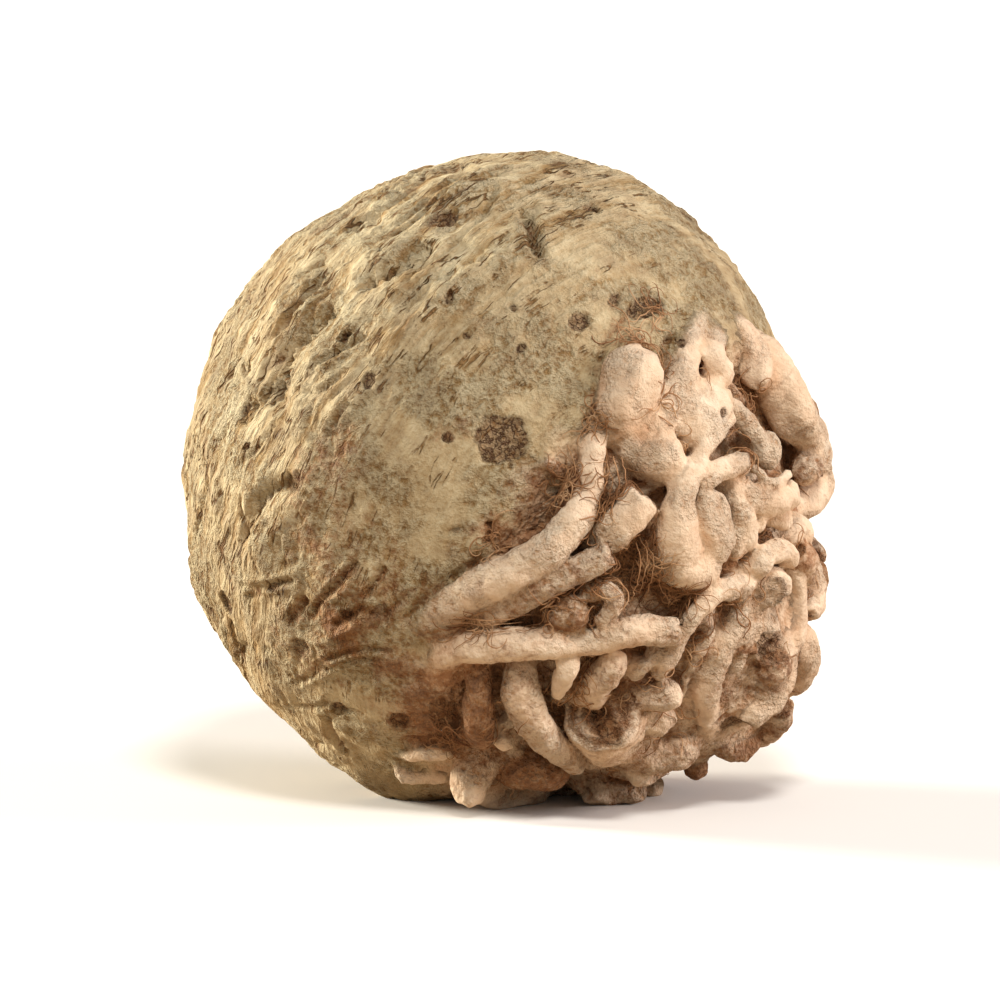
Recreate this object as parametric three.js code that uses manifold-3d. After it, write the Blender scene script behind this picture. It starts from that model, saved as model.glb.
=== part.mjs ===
// A celeriac: a globe-shaped swollen root with a tangle of trimmed side roots on its underside and a
// trimmed crown of leaf-stalk bases opposite. It grew as one piece, so it is one solid, lying on its side
// on a small flat spot. Millimetres, +Z up, origin on the table under the middle of the bounding box.
//
// The shapes are laid out in a "face" frame at the globe's centre: u to the right, v up and w towards the
// viewer of the root face, who looks down on it by FACE_TILT_DEG.

import * as THREE from "three";
import { mergeVertices } from "three/addons/utils/BufferGeometryUtils.js";
import Module from "manifold-3d";

// Driving dimensions
const GLOBE_AT = [-2.57, 2.68, 62]; // the centre of the globe, over the table
const GLOBE_RADIUS = 60.5;
const GLOBE_DETAIL = 9; // subdivisions of the globe's icosahedron
const FACE_TILT_DEG = 8;
const ROOT_AXIS = new THREE.Vector3(0.7, -0.49, 0.52).normalize(); // u, v, w of the root pole; the crown is opposite
const ROOT_ZONE_DEG = [48, 57]; // the globe is sunk inside the first angle and whole beyond the second
const ROOT_ZONE_SINK = 5;
const ROOT_PLATE = { at: new THREE.Vector3(0.72, -0.66, 0.22).normalize(), widthDeg: 20, rise: 4.2 }; // grown together
const ROOT_SIDES = 6;
const ROOT_STEP = 7.5; // length of root between two rings
const ROOT_HEEL = 0.35; // a root starts this share of its first stretch behind its first point
const ROOT_BURIED = 8; // and this much deeper
const THINNEST_ROOT = 1.8; // thinner strands are left to the finished surface

// Swellings of the globe: u, v, w of the direction, height in mm, half-width in degrees.
const SWELLINGS = [
  [0.25, 0.95, 0.1, 3.0, 38],
  [0.74, -0.66, 0.12, 10.0, 25],
  [0.55, -0.45, 0.7, 3.5, 30],
  [-0.36, -0.93, 0.05, 3.2, 12],
  [-0.75, -0.65, 0.1, 1.6, 25],
  [0.0, -0.99, -0.14, 3.6, 30],
];

// Trimmed roots of the face: the centreline's u, v, its height over the swollen globe, and its radius.
const FACE_ROOTS = {
  sweeping: [[-16, -30, -3, 4], [-9, -25, 0.5, 4], [0, -20, 1.5, 4], [9, -15, 1.8, 3.9], [15, -9, 1, 3.4],
    [18, -3, 0, 2.6], [18.5, 3, -1, 2.4], [19, 8, -2.5, 2.8]],
  cut_finger: [[-3, -27, -2.5, 2.6], [5, -23.5, 0, 2.8], [12, -20, 1.5, 2.8], [22.3, -15, 2.6, 2.7]],
  long_crossing: [[-12, -34, -3, 3.8], [-5, -33, 0.8, 3.8], [3, -32.5, 1.5, 3.6], [10, -32.3, 1.6, 2.9],
    [15.5, -32.3, 1.2, 2.3], [20, -31.5, 1.5, 2.8], [26, -29.8, 2, 3.2], [35, -30.2, 2.3, 2.8]],
  stained_knob: [[12, -26.5, -2, 3.2], [15, -26, 0, 4], [18, -25, -0.5, 3]],
  ragged_stub: [[18, -22.5, 0, 1.8], [21.3, -21.9, 1.6, 1.9], [22.8, -24.5, 2.2, 2.1], [19.6, -29.2, 1.5, 1.5]],
  block_stub: [[21.5, -11.5, -1.5, 3.4], [24, -9, 1, 4], [28.3, -4.2, 2.2, 3.7]],
  molar_left: [[36.8, 0.5, 2.5, 1.8], [35.5, -3.5, 3, 2.8], [34.6, -8, 3, 3.8], [35, -13, 2.5, 4.4], [37, -17, 0.5, 4.6]],
  molar_right: [[39.5, -4, 1.5, 2.2], [40, -8, 1.8, 3.2], [41.5, -13, 1.5, 4.6], [40, -17, 0.5, 4.6]],
  molar_base: [[33, -16.5, -0.5, 4.2], [38, -17.5, 0.2, 4.8], [43, -15.5, -0.5, 4.2]],
  upper_stick: [[37.5, 2, 0.5, 1.4], [41, 6.2, 2.2, 1.7], [45.3, 11, 1.8, 1.7]],
  lower_stick: [[39, -1, 1.5, 2.2], [43.5, 1, 2.8, 2.4], [48.8, 2.8, 2.4, 2.2]],
  crossing_stick: [[45.5, 13, 0, 1.8], [48.5, 9.5, 1.8, 2], [50.8, 6, 2, 2.2], [52, 1, 1, 2.4]],
  hooked_outer: [[50, 24, -2, 4.5], [54.5, 17.5, 0.5, 5], [58, 11.5, 1.5, 4.8], [61, 6.5, 2, 3.4], [61.4, 2.6, 2, 2]],
  swirl: [[45, -1.5, 0, 2.2], [49, -4.3, 1.2, 3], [53.5, -5.2, 1.8, 3.3], [57.5, -3.2, 1.5, 3.2]],
  blade: [[45.3, -4, 0.5, 1.6], [47.2, -7.5, 1.8, 2.4], [48.4, -11, 1, 2.4], [48, -14.5, -1, 2]],
  eyed_knob: [[50, -9.5, 0, 2.4], [51.8, -11, 2.2, 2.7]],
  side_nub: [[53, -8, 0.5, 2.2], [57, -9.8, 2.2, 1.6]],
  edge_knob: [[55, -11.5, -1.5, 2.8], [58.5, -11, 0, 3.2], [59, -15.5, 0, 3]],
  curled_nub: [[49.8, -18.3, 0.8, 2.2], [51.5, -15.7, 2, 2.4], [55, -14.6, 2, 2.4], [56.5, -17.5, 0.5, 2.6]],
  facing_stub: [[51, -20, -3, 3.6], [53.3, -22.3, 2.5, 4]],
  drooping: [[48, -20.8, -0.5, 2.4], [43, -22.3, 1.5, 2.5], [39.2, -25.3, 2, 2.1], [36.3, -29.8, 1.8, 1.6],
    [33.6, -34.2, 1.5, 2.1], [30.5, -39.2, 0.5, 1.6]],
  short_spur: [[31.5, -33.5, -0.5, 1.4], [28.5, -36.6, 0.8, 1.7], [26.2, -39, 0, 1.3]],
  thumb_stub: [[18, -41.5, -2.5, 3.2], [21.3, -38, 1, 3.2], [24.6, -34, 3, 2.8]],
  target_stub: [[22, -48, -5, 7.5], [20, -46, 1.5, 7.4]],
  leaf_stub: [[14, -36, 2, 2.2], [12.8, -39.5, 2.2, 2], [11.8, -43, 0.5, 1.3]],
  carrot: [[5, -37.5, -1, 2.8], [4.8, -42, 1.5, 3.9], [7.5, -47.5, 2.2, 3.6], [11.5, -52.3, 2.2, 3], [16.5, -56.8, 1.5, 2.3]],
  post: [[-3.2, -38, -1, 2.6], [-3.2, -43, 1, 3], [-3, -48, 1.5, 2.8], [-2.6, -52.3, 1.2, 2.3]],
  upper_rung: [[-17.5, -53.3, -1, 1.5], [-13, -53.6, 0.6, 1.8], [-8, -53.5, 0.5, 1.8]],
  lower_rung: [[-18, -58, -1.2, 1.6], [-13, -58.2, 0.3, 1.9], [-8.5, -58.2, 0.2, 2]],
  foot_stub: [[-3.5, -53.5, -2, 3.8], [-4, -57.5, 1.5, 4.3], [-4.7, -61.5, 5, 3.2], [-5, -63.5, 6.5, 2.6]],
  left_toe: [[3, -59, -1, 2.6], [3, -61.5, 1.5, 2.8]],
  right_toe: [[8, -58.5, -2, 2.3], [8, -60.2, 0.5, 2.3]],
  pale_knob: [[1, -50.5, -1.5, 2], [4, -52.6, 0.5, 3]],
  rough_end: [[3, -57, -1, 3.2], [8, -57.5, 1, 3.8], [12.5, -58, 0.5, 3.4]],
  warty_lump: [[29, -42.5, 0, 2.8], [33, -42, 1.5, 3.2], [34.8, -40.5, 2.5, 1.6]],
  low_mound: [[30, -46.5, -0.5, 3.5], [35, -47, 0, 4]],
  under_bulge: [[27, -53, -1, 4], [33, -53.5, 0, 4], [40, -52, 0, 4]],
  pale_strap: [[46.5, -26.5, 0, 2], [44, -32, 0.8, 2.2], [41.3, -38.5, 0.8, 2.4], [40.5, -45, 0, 2.4], [41.5, -50, -1, 2]],
  inner_strap: [[41, -29, 0, 1.6], [39, -34, 0.3, 1.6], [36.2, -43, -0.5, 1.3]],
  outer_strap: [[50, -27, 0, 1.5], [47.5, -32, 0.6, 1.8], [46, -38, 0.3, 1.8]],
  scarred_mound: [[50, -30, -3.5, 5.5], [52, -35, -2.5, 6]],
  edge_strap: [[57, -18, 0, 2], [58.5, -24, 0.5, 2.2], [58, -31, 0.3, 2.4], [55, -37, 0, 2.2]],
  egg: [[23.5, 12, -1.5, 5.5], [26, 18, 0.8, 6.2], [28.5, 24, 0, 5.2]],
  shoulder: [[38.5, 30, -2.5, 2.6], [36.8, 23, -0.3, 2.8], [35, 16, 0, 3.4], [30, 9.5, -0.5, 3.2], [24, 8, -1.5, 2.5]],
  pale_mound: [[39, 13, -2, 6], [34, 6, -1, 6]],
  nose: [[42, 27, -1.5, 1.8], [42, 22.5, 1, 2.6], [45, 17, 0.5, 2.8]],
  brow: [[46, 28, -1.5, 3], [50, 22, 0, 3.5], [51, 16, 0.3, 3.2]],
  white_lump: [[31, 3.5, 0, 5], [35, -1.5, 0.5, 4.4]],
  side_knob: [[25.5, 6, -1.5, 2.4], [26.5, 2.5, 0, 3.2]],
  fibrous: [[16, 0, -1.5, 1.4], [14, -4.5, -0.8, 1.6], [11.5, -9, -1, 1.5]],
};

// Roots round the side of the zone that the face doesn't show: they follow a rule.
const FAR_ROWS = [
  { roots: 2, polarDeg: 14, aroundDeg: [150, 215] },
  { roots: 4, polarDeg: 23, aroundDeg: [125, 240] },
  { roots: 7, polarDeg: 33, aroundDeg: [112, 250] },
  { roots: 9, polarDeg: 42, aroundDeg: [105, 255] },
  { roots: 11, polarDeg: 51, aroundDeg: [102, 258] },
];
const FAR_LIFT = [-2.5, 0.4, 1.2, 0.8];
const FAR_LENGTH = [8, 17];
const FAR_RADIUS = [2.2, 4];
const FAR_TURN_DEG = 137.5; // from one root's heading to the next

// The crown: rings of cut leaf-stalk bases round its pole.
const CROWN_RINGS = [
  { stalks: 3, polarDeg: 3, radius: 2.4, proud: 3.2 },
  { stalks: 7, polarDeg: 9.5, radius: 2.8, proud: 2.8 },
  { stalks: 10, polarDeg: 16.5, radius: 2.8, proud: 2.0 },
];
const STALK_ROOTED = 6; // how far each stalk goes into the globe

const rad = THREE.MathUtils.degToRad;
const share = (k, step) => (k * step) % 1; // an even, unordered spread of 0 to 1

/** A face-frame point in the part's frame. */
function placed(p) {
  const tilt = rad(FACE_TILT_DEG);
  return new THREE.Vector3(
    GLOBE_AT[0] + p.x,
    GLOBE_AT[1] + p.y * Math.sin(tilt) - p.z * Math.cos(tilt),
    GLOBE_AT[2] + p.y * Math.cos(tilt) + p.z * Math.sin(tilt),
  );
}

/** Radius of the swollen globe in a face-frame direction. */
function envelope(d) {
  let r = GLOBE_RADIUS;
  for (const [u, v, w, height, widthDeg] of SWELLINGS) {
    const angle = d.angleTo(new THREE.Vector3(u, v, w));
    r += height * Math.exp(-((angle / rad(widthDeg)) ** 2));
  }
  return r;
}

/** The direction at an angle from the root pole and an angle round it, in degrees. */
function fromRootPole(polarDeg, aroundDeg) {
  const nearSide = new THREE.Vector3(0, 0, 1).projectOnPlane(ROOT_AXIS).normalize();
  const across = new THREE.Vector3().crossVectors(ROOT_AXIS, nearSide);
  return ROOT_AXIS.clone()
    .multiplyScalar(Math.cos(rad(polarDeg)))
    .addScaledVector(nearSide, Math.sin(rad(polarDeg)) * Math.cos(rad(aroundDeg)))
    .addScaledVector(across, Math.sin(rad(polarDeg)) * Math.sin(rad(aroundDeg)));
}

/** The face-frame point at u, v and a height over the swollen globe, on the viewer's side. */
function onFace(u, v, lift) {
  const p = new THREE.Vector3(u, v, GLOBE_RADIUS / 2);
  for (let i = 0; i < 12; i += 1) {
    const reach = envelope(p.clone().normalize()) + lift;
    p.z = Math.sqrt(Math.max(reach * reach - u * u - v * v, 0));
  }
  return p;
}

/** A root's points with one more before them, inside the globe, where it grows from. */
function rooted(points) {
  const [first, second] = points;
  const heel = first.clone().lerp(second, -ROOT_HEEL);
  return [heel.setLength(first.length() - ROOT_BURIED), ...points];
}

/** A closed three.js geometry as a manifold-3d solid. */
function solid(wasm, geometry) {
  geometry.deleteAttribute("normal");
  geometry.deleteAttribute("uv");
  const merged = mergeVertices(geometry, 1e-4);
  const index = merged.index.array;
  const kept = [];
  for (let i = 0; i < index.length; i += 3) {
    const [a, b, c] = [index[i], index[i + 1], index[i + 2]];
    if (a !== b && b !== c && c !== a) kept.push(a, b, c);
  }
  return new wasm.Manifold(
    new wasm.Mesh({
      numProp: 3,
      vertProperties: merged.attributes.position.array,
      triVerts: new Uint32Array(kept),
    }),
  );
}

/** The globe, sunk where the roots grow. */
function globeGeometry() {
  const geometry = new THREE.IcosahedronGeometry(1, GLOBE_DETAIL);
  const position = geometry.attributes.position;
  const d = new THREE.Vector3();
  for (let i = 0; i < position.count; i += 1) {
    d.fromBufferAttribute(position, i).normalize();
    const polar = THREE.MathUtils.radToDeg(d.angleTo(ROOT_AXIS));
    const sink = ROOT_ZONE_SINK * (1 - THREE.MathUtils.smoothstep(polar, ...ROOT_ZONE_DEG));
    const plate = ROOT_PLATE.rise * Math.exp(-((d.angleTo(ROOT_PLATE.at) / rad(ROOT_PLATE.widthDeg)) ** 2));
    const p = placed(d.clone().multiplyScalar(envelope(d) - Math.max(sink - plate, 0)));
    position.setXYZ(i, p.x, p.y, p.z);
  }
  return geometry;
}

/** A root: a turned blank with a trimmed end, bent along a smooth line through its points. */
function rootGeometry(points, radii) {
  const line = new THREE.CatmullRomCurve3(points.map(placed), false, "centripetal");
  const steps = Math.max(2, Math.round(line.getLength() / ROOT_STEP));
  const profile = [new THREE.Vector2(0, 0)];
  for (let i = 0; i <= steps; i += 1) profile.push(new THREE.Vector2(1, i / steps));
  profile.push(new THREE.Vector2(0, 1));
  const geometry = new THREE.LatheGeometry(profile, ROOT_SIDES);
  const frames = line.computeFrenetFrames(steps);
  const position = geometry.attributes.position;
  for (let i = 0; i < position.count; i += 1) {
    const [x, t, z] = [position.getX(i), position.getY(i), position.getZ(i)];
    const ring = Math.round(t * steps);
    const along = t * (radii.length - 1);
    const from = Math.min(Math.floor(along), radii.length - 2);
    const r = THREE.MathUtils.lerp(radii[from], radii[from + 1], along - from);
    const p = line
      .getPointAt(t)
      .addScaledVector(frames.normals[ring], z * r)
      .addScaledVector(frames.binormals[ring], x * r);
    position.setXYZ(i, p.x, p.y, p.z);
  }
  return geometry;
}

/** The roots of the far side, each crawling a short way over the globe. */
function farRoots() {
  const made = [];
  for (const row of FAR_ROWS) {
    for (let k = 0; k < row.roots; k += 1) {
      const n = made.length + 1;
      const around = THREE.MathUtils.lerp(...row.aroundDeg, (k + 0.5) / row.roots);
      const heading = rad(FAR_TURN_DEG * n);
      const length = THREE.MathUtils.lerp(...FAR_LENGTH, share(n, 0.382));
      const radius = THREE.MathUtils.lerp(...FAR_RADIUS, share(n, 0.755));
      const points = FAR_LIFT.map((lift, j) => {
        const moved = THREE.MathUtils.radToDeg((length * j) / (FAR_LIFT.length - 1) / GLOBE_RADIUS);
        const d = fromRootPole(
          row.polarDeg + moved * Math.cos(heading),
          around + (moved * Math.sin(heading)) / Math.sin(rad(row.polarDeg)),
        );
        return d.clone().multiplyScalar(envelope(d) + lift);
      });
      made.push(rootGeometry(rooted(points), [radius, radius, radius, radius * 0.95, radius * 0.85]));
    }
  }
  return made;
}

/** The crown's leaf-stalk bases, cut off a little over the globe. */
function crownStalks() {
  const made = [];
  for (const [n, ring] of CROWN_RINGS.entries()) {
    for (let k = 0; k < ring.stalks; k += 1) {
      const around = (360 * (k + 0.5 * (n % 2))) / ring.stalks;
      const d = fromRootPole(180 - ring.polarDeg, around);
      const points = [-STALK_ROOTED, ring.proud / 2, ring.proud].map((lift) =>
        d.clone().multiplyScalar(envelope(d) + lift),
      );
      made.push(rootGeometry(points, [ring.radius, ring.radius, ring.radius]));
    }
  }
  return made;
}

/** The whole celeriac, cut flat where it rests. */
async function celeriacGeometry() {
  const wasm = await Module();
  wasm.setup();
  let whole = solid(wasm, globeGeometry());
  const faceRoots = Object.values(FACE_ROOTS)
    .filter((rows) => Math.max(...rows.map((row) => row[3])) > THINNEST_ROOT)
    .map((rows) =>
      rootGeometry(
        rooted(rows.map(([u, v, lift]) => onFace(u, v, lift))),
        [rows[0][3], ...rows.map((row) => row[3])],
      ),
    );
  for (const geometry of [...faceRoots, ...farRoots(), ...crownStalks()]) {
    whole = whole.add(solid(wasm, geometry));
  }
  const tableDepth = 40;
  const table = new THREE.BoxGeometry(300, 300, tableDepth).translate(0, 0, -tableDepth / 2);
  whole = whole.subtract(solid(wasm, table));
  const mesh = whole.getMesh();
  const geometry = new THREE.BufferGeometry();
  geometry.setAttribute("position", new THREE.BufferAttribute(mesh.vertProperties, 3));
  geometry.setIndex(new THREE.BufferAttribute(mesh.triVerts, 1));
  return geometry;
}

const celeriac = new THREE.Group();
const skin = new THREE.MeshStandardMaterial({ color: 0xcdb58c, roughness: 0.85, metalness: 0 });
const whole = new THREE.Mesh(await celeriacGeometry(), skin);
whole.name = "celeriac";
celeriac.add(whole);

export default celeriac;
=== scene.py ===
"""A celeriac lying on its side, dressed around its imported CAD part.

The globe, its trimmed side roots and its crown are one grown body, so they are laid out as one solid field,
meshed, carved and painted together. The fine rootlets in its furrows are a second mesh. Lengths are in
millimetres from the globe's centre until a mesh is made, and in metres from there on.
"""

from __future__ import annotations

import itertools
import logging
import math
from dataclasses import dataclass, field
from enum import Enum

import bpy
import numpy as np
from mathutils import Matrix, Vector

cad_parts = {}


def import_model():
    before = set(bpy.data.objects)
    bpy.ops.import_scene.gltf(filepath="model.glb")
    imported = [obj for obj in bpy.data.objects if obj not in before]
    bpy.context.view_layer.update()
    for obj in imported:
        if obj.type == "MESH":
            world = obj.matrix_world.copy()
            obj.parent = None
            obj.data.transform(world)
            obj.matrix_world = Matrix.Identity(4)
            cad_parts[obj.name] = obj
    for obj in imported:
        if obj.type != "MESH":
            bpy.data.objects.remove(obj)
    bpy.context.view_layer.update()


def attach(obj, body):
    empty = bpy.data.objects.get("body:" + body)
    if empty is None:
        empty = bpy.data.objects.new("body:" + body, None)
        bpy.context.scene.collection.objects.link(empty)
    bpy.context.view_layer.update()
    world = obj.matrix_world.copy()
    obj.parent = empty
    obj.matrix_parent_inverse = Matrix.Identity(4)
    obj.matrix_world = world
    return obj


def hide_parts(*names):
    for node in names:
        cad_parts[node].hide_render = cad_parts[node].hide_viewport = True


logging.basicConfig(level=logging.INFO, format="%(name)s: %(message)s")
LOG = logging.getLogger("celeriac")

MM = 0.001
NODE = "celeriac"
BODY = "root"

OUTSIDE = 9.0  # mm, stands for well away from any skin

Array = np.ndarray
Row = tuple[float, float, float, float]


# ---- small maths


def smoothstep(x: Array | float, low: float, high: float) -> Array:
    """A smooth rise from 0 at low to 1 at high; it falls instead where low is the larger."""
    t = np.clip((x - low) / (high - low), 0.0, 1.0)
    return t * t * (3.0 - 2.0 * t)


def unit(v: Array) -> Array:
    """Vectors, scaled to length 1."""
    v = np.asarray(v)
    return v / np.maximum(np.linalg.norm(v, axis=-1, keepdims=True), 1e-9)


def share(k: int, step: float) -> float:
    """An even but unordered spread of 0 to 1 over whole numbers k."""
    return (k * step) % 1.0


def lerp(pair: tuple[float, float], t: float) -> float:
    """The value a share t of the way from the first of a pair to the second."""
    return pair[0] + (pair[1] - pair[0]) * t


def smooth_min(a: Array, b: Array, blend: float) -> Array:
    """The lower of two fields, rounded over where they are within blend of each other."""
    h = np.maximum(blend - np.abs(a - b), 0.0) / blend
    return np.minimum(a, b) - h * h * blend * 0.25


def smooth_line(points: Array, radii: Array, step: float) -> tuple[Array, Array]:
    """Samples a smooth line through points at about every step of its length.

    Args:
        points: The points, one row each.
        radii: A value at each point, carried along.
        step: Length between two samples.

    Returns:
        The samples and the value at each.
    """
    padded = np.vstack([2 * points[0] - points[1], points, 2 * points[-1] - points[-2]])
    line, carried = [], []
    for i in range(len(points) - 1):
        a, b, c, d = padded[i : i + 4]
        count = max(2, round(float(np.linalg.norm(c - b)) / step))
        for t in np.arange(count) / count:
            bend = (2 * a - 5 * b + 4 * c - d) * t**2 + (3 * b - a - 3 * c + d) * t**3
            line.append(0.5 * (2 * b + (c - a) * t + bend))
            carried.append(radii[i] + (radii[i + 1] - radii[i]) * t)
    return np.array([*line, points[-1]]), np.array([*carried, radii[-1]])


class GradientNoise:
    """Smooth seeded noise over space, about -1 to 1, for whole arrays of points at once."""

    def __init__(self, seed: int) -> None:
        """Shuffles the noise's own table."""
        rng = np.random.default_rng(seed)
        self.order = rng.permutation(256).astype(np.int32)
        self.slopes = unit(rng.normal(size=(256, 3))).astype(np.float32)

    def __call__(self, points: Array) -> Array:
        """Noise at each point.

        Args:
            points: Places, one row each; the noise changes over about one unit.

        Returns:
            One value for each row.
        """
        cell = np.floor(points).astype(np.int32)
        inside = (points - cell).astype(np.float32)
        ease = inside**3 * (inside * (inside * 6.0 - 15.0) + 10.0)
        total = np.zeros(len(points), np.float32)
        for i, j, k in itertools.product((0, 1), repeat=3):
            key = self.order[(cell[:, 0] + i) & 255]
            key = self.order[(key + cell[:, 1] + j) & 255]
            slope = self.slopes[self.order[(key + cell[:, 2] + k) & 255]]
            weight = ease[:, 0] if i else 1.0 - ease[:, 0]
            weight = weight * (ease[:, 1] if j else 1.0 - ease[:, 1])
            weight = weight * (ease[:, 2] if k else 1.0 - ease[:, 2])
            away = inside - np.array([i, j, k], np.float32)
            total += weight * np.einsum("ij,ij->i", away, slope)
        return total * 1.6

    def creased(self, points: Array, sharp: float) -> Array:
        """Noise from 0 to 1 that peaks in thin lines, as the creases of folded skin do."""
        total = np.zeros(len(points), np.float32)
        for strength, finer, shift in ((0.65, 1.0, 0.0), (0.325, 2.0, 9.1)):
            line = 1.0 - np.minimum(np.abs(self(points * finer + shift)) * sharp, 1.0)
            total += strength * line**2
        return total


# ---- the face frame


@dataclass(frozen=True)
class FaceFrame:
    """The frame the shapes are laid out in: u right, v up, w towards the viewer of the root face.

    Its origin is the globe's centre, and its viewer looks down on the part by tilt_deg.
    """

    tilt_deg: float = 8.0

    def to_part(self, p: Array) -> Array:
        """Face-frame points in the part's axes, still from the globe's centre."""
        p = np.asarray(p, float)
        sin, cos = math.sin(math.radians(self.tilt_deg)), math.cos(math.radians(self.tilt_deg))
        u, v, w = p[..., 0], p[..., 1], p[..., 2]
        return np.stack([u, v * sin - w * cos, v * cos + w * sin], axis=-1)

    def from_part(self, p: Array) -> Array:
        """Points in the part's axes, from the globe's centre, in the face frame."""
        sin, cos = math.sin(math.radians(self.tilt_deg)), math.cos(math.radians(self.tilt_deg))
        x, y, z = p[..., 0], p[..., 1], p[..., 2]
        return np.stack([x, y * sin + z * cos, -y * cos + z * sin], axis=-1)


FACE = FaceFrame()


@dataclass(frozen=True)
class Swelling:
    """A broad rise of the globe round a face-frame direction."""

    toward: tuple[float, float, float]
    height: float
    width_deg: float


@dataclass(frozen=True)
class Globe:
    """The swollen root's own shape: a ball with broad swellings, sunk where the side roots grow."""

    at: tuple[float, float, float] = (-2.57, 2.68, 62.0)
    radius: float = 60.5
    root_axis: tuple[float, float, float] = (0.7, -0.49, 0.52)
    root_zone_deg: tuple[float, float] = (46.0, 55.0)
    root_zone_sink: float = 4.0
    plate_toward: tuple[float, float, float] = (0.72, -0.66, 0.22)
    plate_width_deg: float = 27.0
    plate_rise: float = 4.2
    swellings: tuple[Swelling, ...] = (
        Swelling((0.25, 0.95, 0.1), 3.0, 38.0),
        Swelling((0.74, -0.66, 0.12), 10.0, 25.0),
        Swelling((0.55, -0.45, 0.7), 3.5, 30.0),
        Swelling((-0.36, -0.93, 0.05), 3.2, 12.0),
        Swelling((-0.75, -0.65, 0.1), 1.6, 25.0),
        Swelling((0.0, -0.99, -0.14), 3.6, 30.0),
    )

    @property
    def pole(self) -> Array:
        """The root pole's direction in the part's axes; the crown is opposite."""
        return unit(FACE.to_part(np.array(self.root_axis)))

    @property
    def near(self) -> Array:
        """The direction square to the pole that leans most towards the viewer."""
        viewer = FACE.to_part(np.array([0.0, 0.0, 1.0]))
        return unit(viewer - (viewer @ self.pole) * self.pole)

    @property
    def across(self) -> Array:
        """The direction square to the pole and to near."""
        return np.cross(self.pole, self.near)

    def envelope(self, d: Array) -> Array:
        """Radius of the swollen globe along unit directions in the part's axes."""
        r = np.full(d.shape[:-1], self.radius, np.float32)
        for s in self.swellings:
            toward = unit(FACE.to_part(np.array(s.toward))).astype(np.float32)
            angle = np.arccos(np.clip(d @ toward, -1.0, 1.0))
            r += s.height * np.exp(-((angle / math.radians(s.width_deg)) ** 2))
        return r

    def polar_deg(self, d: Array) -> Array:
        """The angle of each direction from the root pole."""
        return np.degrees(np.arccos(np.clip(d @ self.pole.astype(np.float32), -1.0, 1.0)))

    def sink(self, d: Array) -> Array:
        """How far the globe lies under its envelope, because side roots grow there."""
        zone = 1.0 - smoothstep(self.polar_deg(d), *self.root_zone_deg)
        toward = unit(FACE.to_part(np.array(self.plate_toward))).astype(np.float32)
        off = np.arccos(np.clip(d @ toward, -1.0, 1.0)) / math.radians(self.plate_width_deg)
        return np.maximum(self.root_zone_sink * zone - self.plate_rise * np.exp(-(off**2)), 0.0)

    def on_face(self, u: float, v: float, lift: float) -> Array:
        """The point seen at u and v on the face, lift above the swollen globe, in the part's axes."""
        w = self.radius / 2.0
        for _ in range(12):
            d = unit(FACE.to_part(np.array([u, v, w])))
            reach = float(self.envelope(d)) + lift
            w = math.sqrt(max(reach * reach - u * u - v * v, 0.0))
        return FACE.to_part(np.array([u, v, w]))

    def from_pole(self, polar_deg: float, around_deg: float) -> Array:
        """The direction at an angle from the root pole and an angle round it."""
        p, a = math.radians(polar_deg), math.radians(around_deg)
        return self.pole * math.cos(p) + math.sin(p) * (self.near * math.cos(a) + self.across * math.sin(a))


GLOBE = Globe()


# ---- side roots


class Form(Enum):
    """How a side root is finished: cut off, rounded, or grown together with what lies round it."""

    CUT = "cut"
    ROUND = "round"
    GROWN = "grown"


@dataclass
class SideRoot:
    """A trimmed side root: a tapering rope along a smooth line.

    Args:
        name: What the root is called.
        points: The line's points, from the globe outwards.
        radii: The radius at each point.
        form: How it is finished.
        soil: How much soil its skin keeps, from 0 to 1.
        heel: How far its buried end slants back, as a share of the first step.
        buried: How deep its heel lies in the globe.
        step: Length between two samples of its line.
    """

    name: str
    points: Array
    radii: Array
    form: Form = Form.ROUND
    soil: float = 0.3
    heel: float = 0.35
    buried: float = 8.0
    step: float = 1.2
    line: Array = field(init=False)
    girth: Array = field(init=False)
    run: Array = field(init=False)

    def __post_init__(self) -> None:
        """Adds the buried heel and samples the smooth line."""
        first, second = self.points[0], self.points[1]
        reach = np.linalg.norm(first) - self.buried
        heel = unit(first + (first - second) * self.heel) * reach
        radii = np.array([self.radii[0], *self.radii])
        self.line, self.girth = smooth_line(np.vstack([heel, self.points]), radii, self.step)
        steps = np.linalg.norm(np.diff(self.line, axis=0), axis=1)
        self.run = np.concatenate([[0.0], np.cumsum(steps)])

    @property
    def end_way(self) -> Array:
        """The direction the free end points in."""
        return unit(self.line[-1] - self.line[-3])

    def coordinates(self, p: Array) -> tuple[Array, Array, Array, Array]:
        """Where points lie on the root.

        Args:
            p: Points near its skin, one row each.

        Returns:
            The length along the line, the direction outwards from it, the distance left to the end, and the
            distance from the line.
        """
        nearest = np.empty(len(p), int)
        for start in range(0, len(p), 20000):
            away = p[start : start + 20000, None, :] - self.line[None, :, :]
            off = np.linalg.norm(away, axis=2) - self.girth[None, :]
            nearest[start : start + 20000] = off.argmin(1)
        ahead = np.minimum(nearest + 1, len(self.line) - 1)
        behind = np.maximum(nearest - 1, 0)
        way = unit(self.line[ahead] - self.line[behind])
        away = p - self.line[nearest]
        slide = np.einsum("ij,ij->i", away, way)
        along = self.run[nearest] + slide
        across = away - way * slide[:, None]
        return along, unit(across), self.run[-1] - along, np.linalg.norm(across, axis=1)


C, R, G = Form.CUT, Form.ROUND, Form.GROWN
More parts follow.
